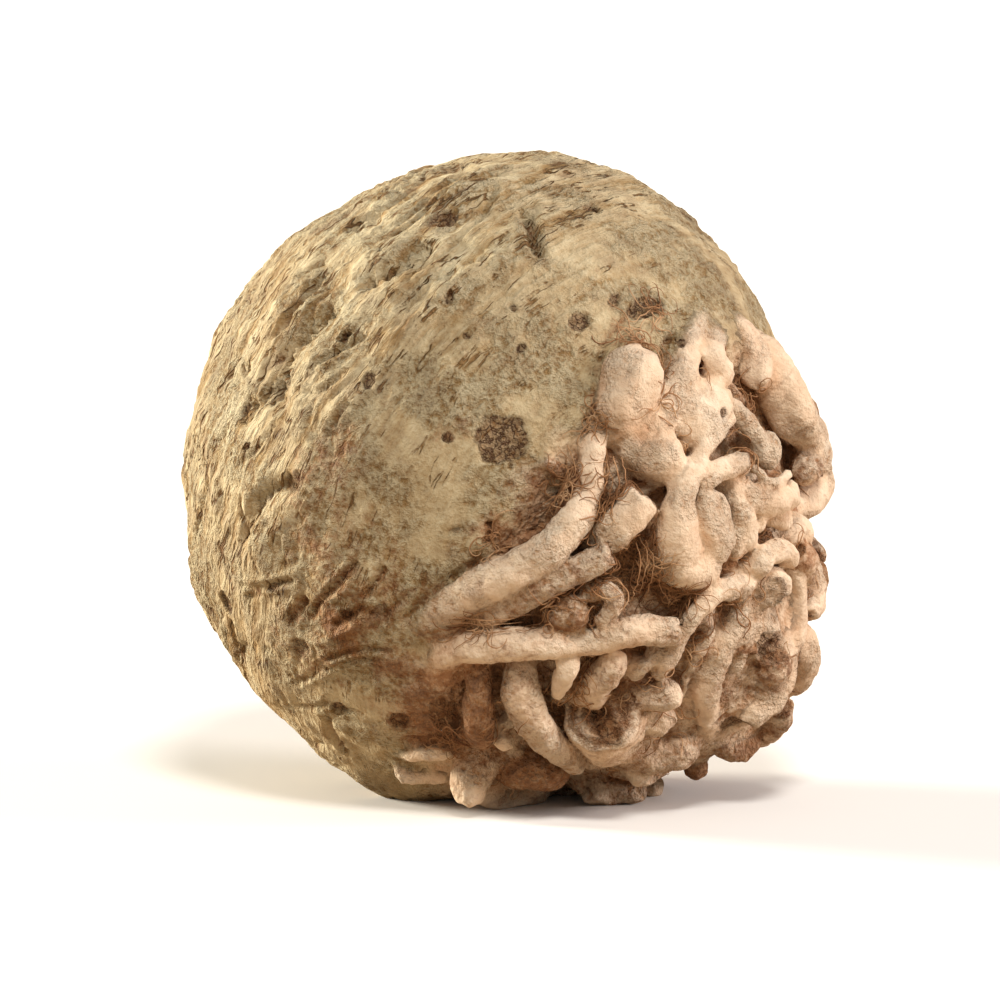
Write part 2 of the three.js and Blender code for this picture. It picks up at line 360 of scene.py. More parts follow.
# Side roots seen on the face: their form, how much soil they keep, and u, v, lift and radius of each point.
FACE_ROOTS: dict[str, tuple[Form, float, tuple[Row, ...]]] = {
    "sweeping": (R, 0.15, ((-19, -32, -6.4, 4), (-10, -25.5, -2.2, 4), (0, -20, 0.8, 4),
        (9, -15, 1.6, 3.9), (15, -9, 1, 3.4), (18, -3, 0, 2.6), (18.5, 3, -1, 2.4), (19, 8, -2.5, 2.8))),
    "cut_finger": (C, 0.5, ((-3, -27, -2.5, 2.6), (5, -23.5, 0, 2.8), (12, -20, 1.5, 2.8),
        (22.3, -15, 2.6, 2.7))),
    "long_crossing": (C, 0.4, ((-15, -34.5, -6.2, 3.8), (-7, -33, -1.2, 3.8), (2, -32.5, 1.2, 3.6),
        (10, -32.3, 1.6, 2.9), (15.5, -32.3, 1.2, 2.3), (20, -31.5, 1.5, 2.8), (26, -29.8, 2, 3.2),
        (35, -30.2, 2.3, 2.8))),
    "stained_knob": (G, 0.7, ((12, -26.5, -2, 3.2), (15, -26, 0, 4), (18, -25, -0.5, 3))),
    "ragged_stub": (R, 0.5, ((18, -22.5, 0, 1.8), (21.3, -21.9, 1.6, 1.9), (22.8, -24.5, 2.2, 2.1),
        (19.6, -29.2, 1.5, 1.5))),
    "block_stub": (C, 0.1, ((21.5, -11.5, -1.5, 3.4), (24, -9, 1, 4), (28.3, -4.2, 2.2, 3.7))),
    "molar_left": (R, 0.0, ((36.8, 0.5, 2.5, 1.8), (35.5, -3.5, 3, 2.8), (34.6, -8, 3, 3.8),
        (35, -13, 2.5, 4.4), (37, -17, 0.5, 4.6))),
    "molar_right": (R, 0.0, ((39.5, -4, 1.5, 2.2), (40, -8, 1.8, 3.2), (41.5, -13, 1.5, 4.6),
        (40, -17, 0.5, 4.6))),
    "molar_base": (G, 0.1, ((33, -16.5, -0.5, 4.2), (38, -17.5, 0.2, 4.8), (43, -15.5, -0.5, 4.2))),
    "molar_strand": (R, 0.1, ((39.8, 2.5, 2.8, 1.2), (38, -1, 4, 1.3), (36.5, -6.2, 6.2, 1))),
    "upper_stick": (C, 0.0, ((37.5, 2, 0.5, 1.4), (41, 6.2, 2.2, 1.7), (45.3, 11, 1.8, 1.7))),
    "lower_stick": (R, 0.0, ((39, -1, 1.5, 2.2), (43.5, 1, 2.8, 2.4), (48.8, 2.8, 2.4, 2.2))),
    "crossing_stick": (R, 0.2, ((45.5, 13, 0, 1.8), (48.5, 9.5, 1.8, 2), (50.8, 6, 2, 2.2),
        (52, 1, 1, 2.4))),
    "pierced_knob": (R, 0.2, ((52.3, 6.5, 2, 2), (53, 3.5, 2.6, 2.2), (52, 0.5, 1.5, 2))),
    "hooked_outer": (R, 0.1, ((50, 24, -2, 4.5), (54.5, 17.5, 0.5, 5), (58, 11.5, 1.5, 4.8),
        (61, 6.5, 2, 3.4), (61.4, 2.6, 2, 2))),
    "swirl": (R, 0.1, ((45, -1.5, 0, 2.2), (49, -4.3, 1.2, 3), (53.5, -5.2, 1.8, 3.3),
        (57.5, -3.2, 1.5, 3.2))),
    "swirl_rootlet": (R, 0.2, ((50, 1, 2.5, 1), (51.5, -1, 3.5, 1.1), (54.5, -1.4, 4, 1.1),
        (57, 0.6, 3.5, 0.9))),
    "blade": (R, 0.1, ((45.3, -4, 0.5, 1.6), (47.2, -7.5, 1.8, 2.4), (48.4, -11, 1, 2.4),
        (48, -14.5, -1, 2))),
    "curl": (R, 0.3, ((41, -4, 1, 1.2), (43.5, -4.8, 2.5, 1.3), (44, -8, 2.5, 1.4),
        (45, -11.5, 1.5, 1.4))),
    "filler": (G, 0.3, ((45, -12, -0.5, 2), (46.5, -16.5, -0.5, 2))),
    "eyed_knob": (R, 0.2, ((50, -9.5, 0, 2.4), (51.8, -11, 2.2, 2.7))),
    "side_nub": (R, 0.2, ((53, -8, 0.5, 2.2), (57, -9.8, 2.2, 1.6))),
    "edge_knob": (R, 0.2, ((55, -11.5, -1.5, 2.8), (58.5, -11, 0, 3.2), (59, -15.5, 0, 3))),
    "curled_nub": (R, 0.3, ((49.8, -18.3, 0.8, 2.2), (51.5, -15.7, 2, 2.4), (55, -14.6, 2, 2.4),
        (56.5, -17.5, 0.5, 2.6))),
    "facing_stub": (C, 0.2, ((51, -20, -3, 3.6), (53.3, -22.3, 2.5, 4))),
    "drooping": (R, 0.2, ((48, -20.8, -0.5, 2.4), (43, -22.3, 1.5, 2.5), (39.2, -25.3, 2, 2.1),
        (36.3, -29.8, 1.8, 1.6), (33.6, -34.2, 1.5, 2.1), (30.5, -39.2, 0.5, 1.6))),
    "short_spur": (R, 0.3, ((31.5, -33.5, -0.5, 1.4), (28.5, -36.6, 0.8, 1.7), (26.2, -39, 0, 1.3))),
    "thumb_stub": (R, 0.4, ((18, -41.5, -2.5, 3.2), (21.3, -38, 1, 3.2), (24.6, -34, 3, 2.8))),
    "target_stub": (C, 0.4, ((22, -48, -5, 7.5), (20, -46, 1.5, 7.4))),
    "leaf_stub": (R, 0.0, ((14, -36, 2, 2.2), (12.8, -39.5, 2.2, 2), (11.8, -43, 0.5, 1.3))),
    "carrot": (R, 0.4, ((5, -37.5, -1, 2.8), (4.8, -42, 1.5, 3.9), (7.5, -47.5, 2.2, 3.6),
        (11.5, -52.3, 2.2, 3), (16.5, -56.8, 1.5, 2.3))),
    "post": (R, 0.8, ((-3.2, -38, -1, 2.6), (-3.2, -43, 1, 3), (-3, -48, 1.5, 2.8),
        (-2.6, -52.3, 1.2, 2.3))),
    "upper_rung": (R, 0.2, ((-17.5, -53.3, -1, 1.5), (-13, -53.6, 0.6, 1.8), (-8, -53.5, 0.5, 1.8))),
    "lower_rung": (R, 0.2, ((-18, -58, -1.2, 1.6), (-13, -58.2, 0.3, 1.9), (-8.5, -58.2, 0.2, 2))),
    "foot_stub": (C, 0.4, ((-3.5, -53.5, -2, 3.8), (-4, -57.5, 1.5, 4.3), (-4.7, -61.5, 5, 3.2),
        (-5, -63.5, 6.5, 2.6))),
    "left_toe": (R, 0.3, ((3, -59, -1, 2.6), (3, -61.5, 1.5, 2.8))),
    "right_toe": (R, 0.3, ((8, -58.5, -2, 2.3), (8, -60.2, 0.5, 2.3))),
    "pale_knob": (R, 0.1, ((1, -50.5, -1.5, 2), (4, -52.6, 0.5, 3))),
    "rough_end": (C, 0.9, ((3, -57, -1, 3.2), (8, -57.5, 1, 3.8), (12.5, -58, 0.5, 3.4))),
    "warty_lump": (G, 0.4, ((29, -42.5, 0, 2.8), (33, -42, 1.5, 3.2), (34.8, -40.5, 2.5, 1.6))),
    "low_mound": (G, 0.4, ((30, -46.5, -0.5, 3.5), (35, -47, 0, 4))),
    "under_bulge": (G, 0.5, ((27, -53, -1, 4), (33, -53.5, 0, 4), (40, -52, 0, 4))),
    "pale_strap": (G, 0.1, ((46.5, -26.5, -1.2, 2.2), (44, -32, -0.6, 2.5), (41.3, -38.5, -0.6, 2.8),
        (40.5, -45, -1.2, 2.8), (41.5, -50, -2, 2))),
    "inner_strap": (G, 0.3, ((41, -29, -0.8, 1.4), (39, -34, -0.4, 1.3), (36.2, -43, -1, 1.1))),
    "outer_strap": (G, 0.3, ((50, -27, -0.9, 1.3), (47.5, -32, -0.5, 1.5), (46, -38, -0.8, 1.5))),
    "scarred_mound": (G, 0.3, ((50, -30, -3.5, 5.5), (52, -35, -2.5, 6))),
    "edge_strap": (G, 0.3, ((57, -18, -1, 2), (58.5, -24, -0.6, 2.2), (58, -31, -0.8, 2.4),
        (55, -37, -1, 2.2))),
    "egg": (G, 0.1, ((23.5, 12, -1.5, 5.5), (26, 18, 0.8, 6.2), (28.5, 24, 0, 5.2))),
    "shoulder": (G, 0.2, ((38.5, 30, -2.5, 2.6), (36.8, 23, -0.3, 2.8), (35, 16, 0, 3.4),
        (30, 9.5, -0.5, 3.2), (24, 8, -1.5, 2.5))),
    "pale_mound": (G, 0.0, ((39, 13, -2, 6), (34, 6, -1, 6))),
    "nose": (G, 0.1, ((42, 27, -1.5, 1.8), (42, 22.5, 1, 2.6), (45, 17, 0.5, 2.8))),
    "brow": (G, 0.2, ((46, 28, -1.5, 3), (50, 22, 0, 3.5), (51, 16, 0.3, 3.2))),
    "white_lump": (G, 0.0, ((31, 3.5, 0, 5), (35, -1.5, 0.5, 4.4))),
    "side_knob": (G, 0.1, ((25.5, 6, -1.5, 2.4), (26.5, 2.5, 0, 3.2))),
    "fibrous": (R, 0.9, ((16, 0, -1.5, 1.4), (14, -4.5, -0.8, 1.6), (11.5, -9, -1, 1.5))),
}


@dataclass(frozen=True)
class FarRow:
    """A row of side roots on the side of the root zone that faces away."""

    roots: int
    polar_deg: float
    around_deg: tuple[float, float]


@dataclass(frozen=True)
class CrownRing:
    """A ring of cut leaf-stalk bases round the crown."""

    stalks: int
    polar_deg: float
    radius: float
    proud: float


@dataclass
class RootSystem:
    """Every side root and leaf-stalk base that grows from the globe.

    The far ones follow a rule and the small ones are drawn at random. A step spreads a range evenly over the
    roots; lifts and tapers go along a root.
    """

    far_rows: tuple[FarRow, ...] = (
        FarRow(2, 14.0, (150.0, 215.0)),
        FarRow(4, 23.0, (125.0, 240.0)),
        FarRow(7, 33.0, (112.0, 250.0)),
        FarRow(9, 42.0, (105.0, 255.0)),
        FarRow(11, 51.0, (102.0, 258.0)),
    )
    far_lift: tuple[float, ...] = (-2.5, 0.4, 1.2, 0.8)
    far_taper: tuple[float, ...] = (1.0, 1.0, 0.95, 0.85)
    far_length: tuple[float, float] = (8.0, 17.0)
    far_length_step: float = 0.382
    far_radius: tuple[float, float] = (2.2, 4.0)
    far_radius_step: float = 0.755
    far_soil_step: float = 0.618
    far_turn_deg: float = 137.5
    small_count: int = 150
    small_seed: int = 23
    small_polar_deg: tuple[float, float] = (4.0, 53.0)
    small_length: tuple[float, float] = (4.0, 11.0)
    small_bend: tuple[float, float] = (-0.9, 0.9)
    small_radius: tuple[float, float] = (0.9, 2.1)
    small_soil: tuple[float, float] = (0.3, 0.9)
    small_buried: float = 3.0
    small_lift: tuple[float, ...] = (-1.5, 0.6, 1.2, 0.2)
    small_taper: tuple[float, ...] = (1.2, 1.0, 0.9, 0.7)
    small_depth: float = 2.0
    crown_rings: tuple[CrownRing, ...] = (
        CrownRing(3, 3.0, 2.4, 3.2),
        CrownRing(7, 9.5, 2.8, 2.8),
        CrownRing(10, 16.5, 2.8, 2.0),
    )
    stalk_rooted: float = 6.0

    def face_roots(self) -> list[SideRoot]:
        """The side roots of the face, one by one."""
        made = []
        for name, (form, soil, rows) in FACE_ROOTS.items():
            points = np.array([GLOBE.on_face(u, v, lift) for u, v, lift, _ in rows])
            made.append(SideRoot(name, points, np.array([row[3] for row in rows]), form, soil))
        return made

    def far_roots(self) -> list[SideRoot]:
        """The side roots of the far side, each crawling a short way over the globe."""
        made = []
        for row in self.far_rows:
            for k in range(row.roots):
                n = len(made) + 1
                around = lerp(row.around_deg, (k + 0.5) / row.roots)
                heading = math.radians(self.far_turn_deg * n)
                length = lerp(self.far_length, share(n, self.far_length_step))
                radius = lerp(self.far_radius, share(n, self.far_radius_step))
                points = self._crawl((row.polar_deg, around), heading, 0.0, length, self.far_lift, False)
                girth = radius * np.array(self.far_taper)
                form, soil = list(Form)[n % len(Form)], share(n, self.far_soil_step)
                made.append(SideRoot(f"far_{n}", points, girth, form, soil))
        return made

    @staticmethod
    def _crawl(
        start: tuple[float, float],
        heading: float,
        bend: float,
        length: float,
        lifts: tuple[float, ...],
        sunk: bool,
    ) -> Array:
        """The points of a root that crawls over the globe.

        Args:
            start: The angles from and round the root pole where it starts.
            heading: Which way it sets off, in radians.
            bend: How far it turns at each point, in radians.
            length: Its length.
            lifts: How far each point lies over the globe.
            sunk: Whether that is over the sunk globe or over its envelope.

        Returns:
            One row for each point.
        """
        polar, around = start
        least_deg = 12.0
        points = []
        for j, lift in enumerate(lifts):
            turned = heading + bend * j
            moved = math.degrees(length * j / (len(lifts) - 1) / GLOBE.radius)
            sideways = moved * math.sin(turned) / math.sin(math.radians(max(polar, least_deg)))
            d = GLOBE.from_pole(polar + moved * math.cos(turned), around + sideways)
            sink = GLOBE.sink(d) if sunk else 0.0
            points.append(d * (GLOBE.envelope(d) - sink + lift))
        return np.array(points)

    def small_roots(self) -> list[SideRoot]:
        """Stumps of thin roots that fill the furrows between the side roots."""
        rng = np.random.default_rng(self.small_seed)
        made = []
        for n in range(self.small_count):
            polar, around = rng.uniform(*self.small_polar_deg), rng.uniform(0.0, 360.0)
            heading, length = rng.uniform(0.0, 2.0 * math.pi), rng.uniform(*self.small_length)
            bend, radius = rng.uniform(*self.small_bend), rng.uniform(*self.small_radius)
            if GLOBE.sink(GLOBE.from_pole(polar, around)) < self.small_depth:
                continue
            points = self._crawl((polar, around), heading, bend, length, self.small_lift, True)
            form = Form.GROWN if n % 3 else Form.ROUND
            girth, soil = radius * np.array(self.small_taper), rng.uniform(*self.small_soil)
            made.append(SideRoot(f"small_{n}", points, girth, form, soil, buried=self.small_buried))
        return made

    def stalks(self) -> list[SideRoot]:
        """The crown's leaf-stalk bases, cut off a little over the globe."""
        made = []
        for n, ring in enumerate(self.crown_rings):
            for k in range(ring.stalks):
                d = GLOBE.from_pole(180.0 - ring.polar_deg, 360.0 * (k + 0.5 * (n % 2)) / ring.stalks)
                lifts = (-self.stalk_rooted, ring.proud / 2.0, ring.proud)
                points = np.array([d * (GLOBE.envelope(d) + lift) for lift in lifts])
                girth = np.full(3, ring.radius)
                made.append(SideRoot(f"stalk_{n}_{k}", points, girth, Form.CUT, 0.6, heel=0.1, buried=1.0))
        return made


# ---- the solid field


@dataclass
class SolidField:
    """Signed distance on a cubic grid round the globe's centre: negative inside the flesh.

    Args:
        half: Half the grid's side.
        spacing: Distance between two grid points.
    """

    half: float
    spacing: float
    axis: Array = field(init=False)
    values: Array = field(init=False)
    owner: Array = field(init=False)

    def __post_init__(self) -> None:
        """Lays out an empty grid."""
        count = int(2.0 * self.half / self.spacing) + 1
        self.axis = ((np.arange(count) - (count - 1) / 2.0) * self.spacing).astype(np.float32)
        self.values = np.full((count,) * 3, OUTSIDE, np.float32)
        self.owner = np.full((count,) * 3, -1, np.int16)

    def _block(self, low: Array, high: Array) -> tuple[tuple[slice, ...], list[Array]]:
        """The part of the grid between two corners, as slices and as open coordinates."""
        first = np.searchsorted(self.axis, low)
        last = np.searchsorted(self.axis, high)
        slices = tuple(slice(int(a), int(b)) for a, b in zip(first, last))
        shapes = ((-1, 1, 1), (1, -1, 1), (1, 1, -1))
        return slices, [self.axis[s].reshape(shape) for s, shape in zip(slices, shapes)]

    def _rope(self, line: Array, girth: Array, margin: float) -> tuple[tuple[slice, ...], list[Array], Array]:
        """Distance from a rope of changing girth, over the block round it.

        Args:
            line: Points along the rope.
            girth: Its radius at each.
            margin: How far the block goes past it.

        Returns:
            The block's slices, its open coordinates, and the distance over it.
        """
        reach = float(girth.max()) + margin
        slices, (x, y, z) = self._block(line.min(0) - reach, line.max(0) + reach)
        shape = (x.size, y.size, z.size)
        rope = np.full(shape, OUTSIDE, np.float32)
        corner = np.array([s.start for s in slices])
        for a, b, ra, rb in zip(line[:-1], line[1:], girth[:-1], girth[1:]):
            near = max(ra, rb) + margin
            part, (px, py, pz) = self._block(np.minimum(a, b) - near, np.maximum(a, b) + near)
            sides = zip(part, corner, shape)
            inner = tuple(slice(max(s.start - c, 0), min(s.stop - c, n)) for s, c, n in sides)
            way = (b - a).astype(np.float32)
            length = float(way @ way)
            qx, qy, qz = px - a[0], py - a[1], pz - a[2]
            t = np.clip((qx * way[0] + qy * way[1] + qz * way[2]) / length, 0.0, 1.0)
            off = np.sqrt((qx - t * way[0]) ** 2 + (qy - t * way[1]) ** 2 + (qz - t * way[2]) ** 2)
            rope[inner] = np.minimum(rope[inner], off - (ra + (rb - ra) * t))
        return slices, [x, y, z], rope

    def fill_globe(self, globe: Globe) -> None:
        """Fills in the swollen globe."""
        thick = 12.0
        for i, x in enumerate(self.axis):
            y, z = np.meshgrid(self.axis, self.axis, indexing="ij")
            reach = np.sqrt(x * x + y * y + z * z)
            far = reach > globe.radius - thick
            layer = np.full(reach.shape, -OUTSIDE, np.float32)
            away = np.stack([np.full(int(far.sum()), x, np.float32), y[far], z[far]], axis=-1)
            d = away / reach[far][:, None]
            layer[far] = reach[far] - (globe.envelope(d) - globe.sink(d))
            self.values[i] = layer

    def add_root(self, root: SideRoot, number: int, blend: float, roots: Array) -> None:
        """Adds a side root to a field of all the roots.

        Args:
            root: The side root.
            number: What its skin is marked with.
            blend: How far it rounds into its neighbours.
            roots: The field of all the roots, which is changed.
        """
        margin, crisp, rounded = 3.0, 0.9, 1.6
        slices, (x, y, z), rope = self._rope(root.line, root.girth, margin)
        way, tip = root.end_way, root.line[-1]
        beyond = (x - tip[0]) * way[0] + (y - tip[1]) * way[1] + (z - tip[2]) * way[2]
        soft = crisp if root.form is Form.CUT else rounded * float(root.girth[-1])
        rope = -smooth_min(-rope, -beyond, soft)
        self.owner[slices] = np.where(rope < roots[slices], number, self.owner[slices])
        roots[slices] = smooth_min(roots[slices], rope, blend)

    def merge(self, roots: Array, blend: float) -> None:
        """Joins the field of all the roots to the globe."""
        self.values = smooth_min(self.values, roots, blend)

    def flatten(self, level: float) -> None:
        """Cuts everything off below a height, where the part rests."""
        below = (level - self.axis).reshape(1, 1, -1)
        self.values = np.maximum(self.values, below)

    def sample(self, grid: Array, p: Array) -> Array:
        """A grid's values at points, blended between grid points."""
        at = (p - self.axis[0]) / self.spacing
        cell = np.clip(np.floor(at).astype(int), 0, len(self.axis) - 2)
        t = (at - cell).astype(np.float32)
        total = np.zeros(len(p), np.float32)
        for i, j, k in itertools.product((0, 1), repeat=3):
            weight = np.where(i, t[:, 0], 1 - t[:, 0]) * np.where(j, t[:, 1], 1 - t[:, 1])
            weight = weight * np.where(k, t[:, 2], 1 - t[:, 2])
            total += weight * grid[cell[:, 0] + i, cell[:, 1] + j, cell[:, 2] + k]
        return total

    def outward(self, p: Array) -> Array:
        """The direction away from the flesh at points."""
        slopes = []
        for a in range(3):
            shift = np.zeros(3)
            shift[a] = self.spacing
            slopes.append(self.sample(self.values, p + shift) - self.sample(self.values, p - shift))
        return unit(np.stack(slopes, 1))

    def nearest(self, grid: Array, p: Array) -> Array:
        """A grid's values at the grid points nearest to points."""
        at = np.clip(np.rint((p - self.axis[0]) / self.spacing).astype(int), 0, len(self.axis) - 1)
        return grid[at[:, 0], at[:, 1], at[:, 2]]

    def crowding(self, reach: float) -> Array:
        """How full of flesh the space round each grid point is: a half on open skin, more in a furrow."""
        full = np.clip(0.5 - self.values / self.spacing, 0.0, 1.0)
        n = max(1, round(reach / self.spacing / 1.5))
        for _ in range(2):
            for a in range(3):
                total = np.cumsum(full, axis=a, dtype=np.float64).astype(np.float32)
                ahead = np.take(total, np.minimum(np.arange(total.shape[a]) + n, total.shape[a] - 1), axis=a)
                back = np.take(total, np.maximum(np.arange(total.shape[a]) - n - 1, 0), axis=a)
                full = (ahead - back) / (2 * n + 1)
        return full

    def surface(self) -> tuple[Array, Array]:
        """The skin of the flesh as a closed mesh of quads.

        Returns:
            The corner points, and four corners for each quad, outwards.
        """
        inside = self.values < 0.0
        n = len(self.axis)
        mixed = np.zeros((n - 1,) * 3, bool)
        first = inside[:-1, :-1, :-1]
        corners = list(itertools.product((0, 1), repeat=3))
        for i, j, k in corners[1:]:
            mixed |= inside[i : n - 1 + i, j : n - 1 + j, k : n - 1 + k] != first
        cells = np.argwhere(mixed)
        number = np.full(mixed.shape, -1, np.int32)
        number[mixed] = np.arange(len(cells))
        x, y, z = cells.T
        value = np.stack([self.values[x + i, y + j, z + k] for i, j, k in corners], 1)
        total = np.zeros((len(cells), 3))
        count = np.zeros(len(cells))
        for a, b in itertools.combinations(range(8), 2):
            start, stop = np.array(corners[a]), np.array(corners[b])
            if np.abs(start - stop).sum() != 1:
                continue
            crosses = (value[:, a] < 0) != (value[:, b] < 0)
            t = value[crosses, a] / (value[crosses, a] - value[crosses, b])
            total[crosses] += start + t[:, None] * (stop - start)
            count[crosses] += 1
        points = (cells + total / count[:, None]) * self.spacing + self.axis[0]
        quads = []
        for a in range(3):
            b, c = (a + 1) % 3, (a + 2) % 3
            low = [slice(None)] * 3
            high = [slice(None)] * 3
            low[a], high[a] = slice(0, n - 1), slice(1, n)
            changes = inside[tuple(low)] != inside[tuple(high)]
            at = np.argwhere(changes)
            leaving = inside[tuple(low)][changes]
            ring = []
            for sb, sc in ((-1, -1), (0, -1), (0, 0), (-1, 0)):
                cell = at.copy()
                cell[:, b] += sb
                cell[:, c] += sc
                ring.append(number[cell[:, 0], cell[:, 1], cell[:, 2]])
            quad = np.stack(ring, 1)
            quad[~leaving] = quad[~leaving][:, ::-1]
            quads.append(quad)
        return points, np.vstack(quads)


# ---- marks on the skin


@dataclass(frozen=True)
class Crease:
    """A furrow in the skin along a smooth line on the face.

    Args:
        line: u and v of its points.
        width: Half its width.
        depth: How deep it is; a negative depth is a ridge.
        sharp: 1 for a knife-thin floor, 2 for a soft one.
        soil: How much soil lies in it.
        lip: How high the skin stands up beside it.
    """

    line: tuple[tuple[float, float], ...]
    width: float
    depth: float
    sharp: float = 1.0
    soil: float = 0.5
    lip: float = 0.0


@dataclass(frozen=True)
class Scar:
    """A round or oval corky scar.

    Args:
        u, v: Its middle on the face.
        length, width: Half of each.
        turn_deg: The turn of its length from right.
        depth: How deep its floor is.
        rim: How high its rim stands.
        cork: How corky it is, from 0 to 1.
        rough: How uneven its floor is.
    """

    u: float
    v: float
    length: float
    width: float
    turn_deg: float = 0.0
    depth: float = 0.5
    rim: float = 0.25
    cork: float = 0.9
    rough: float = 0.5


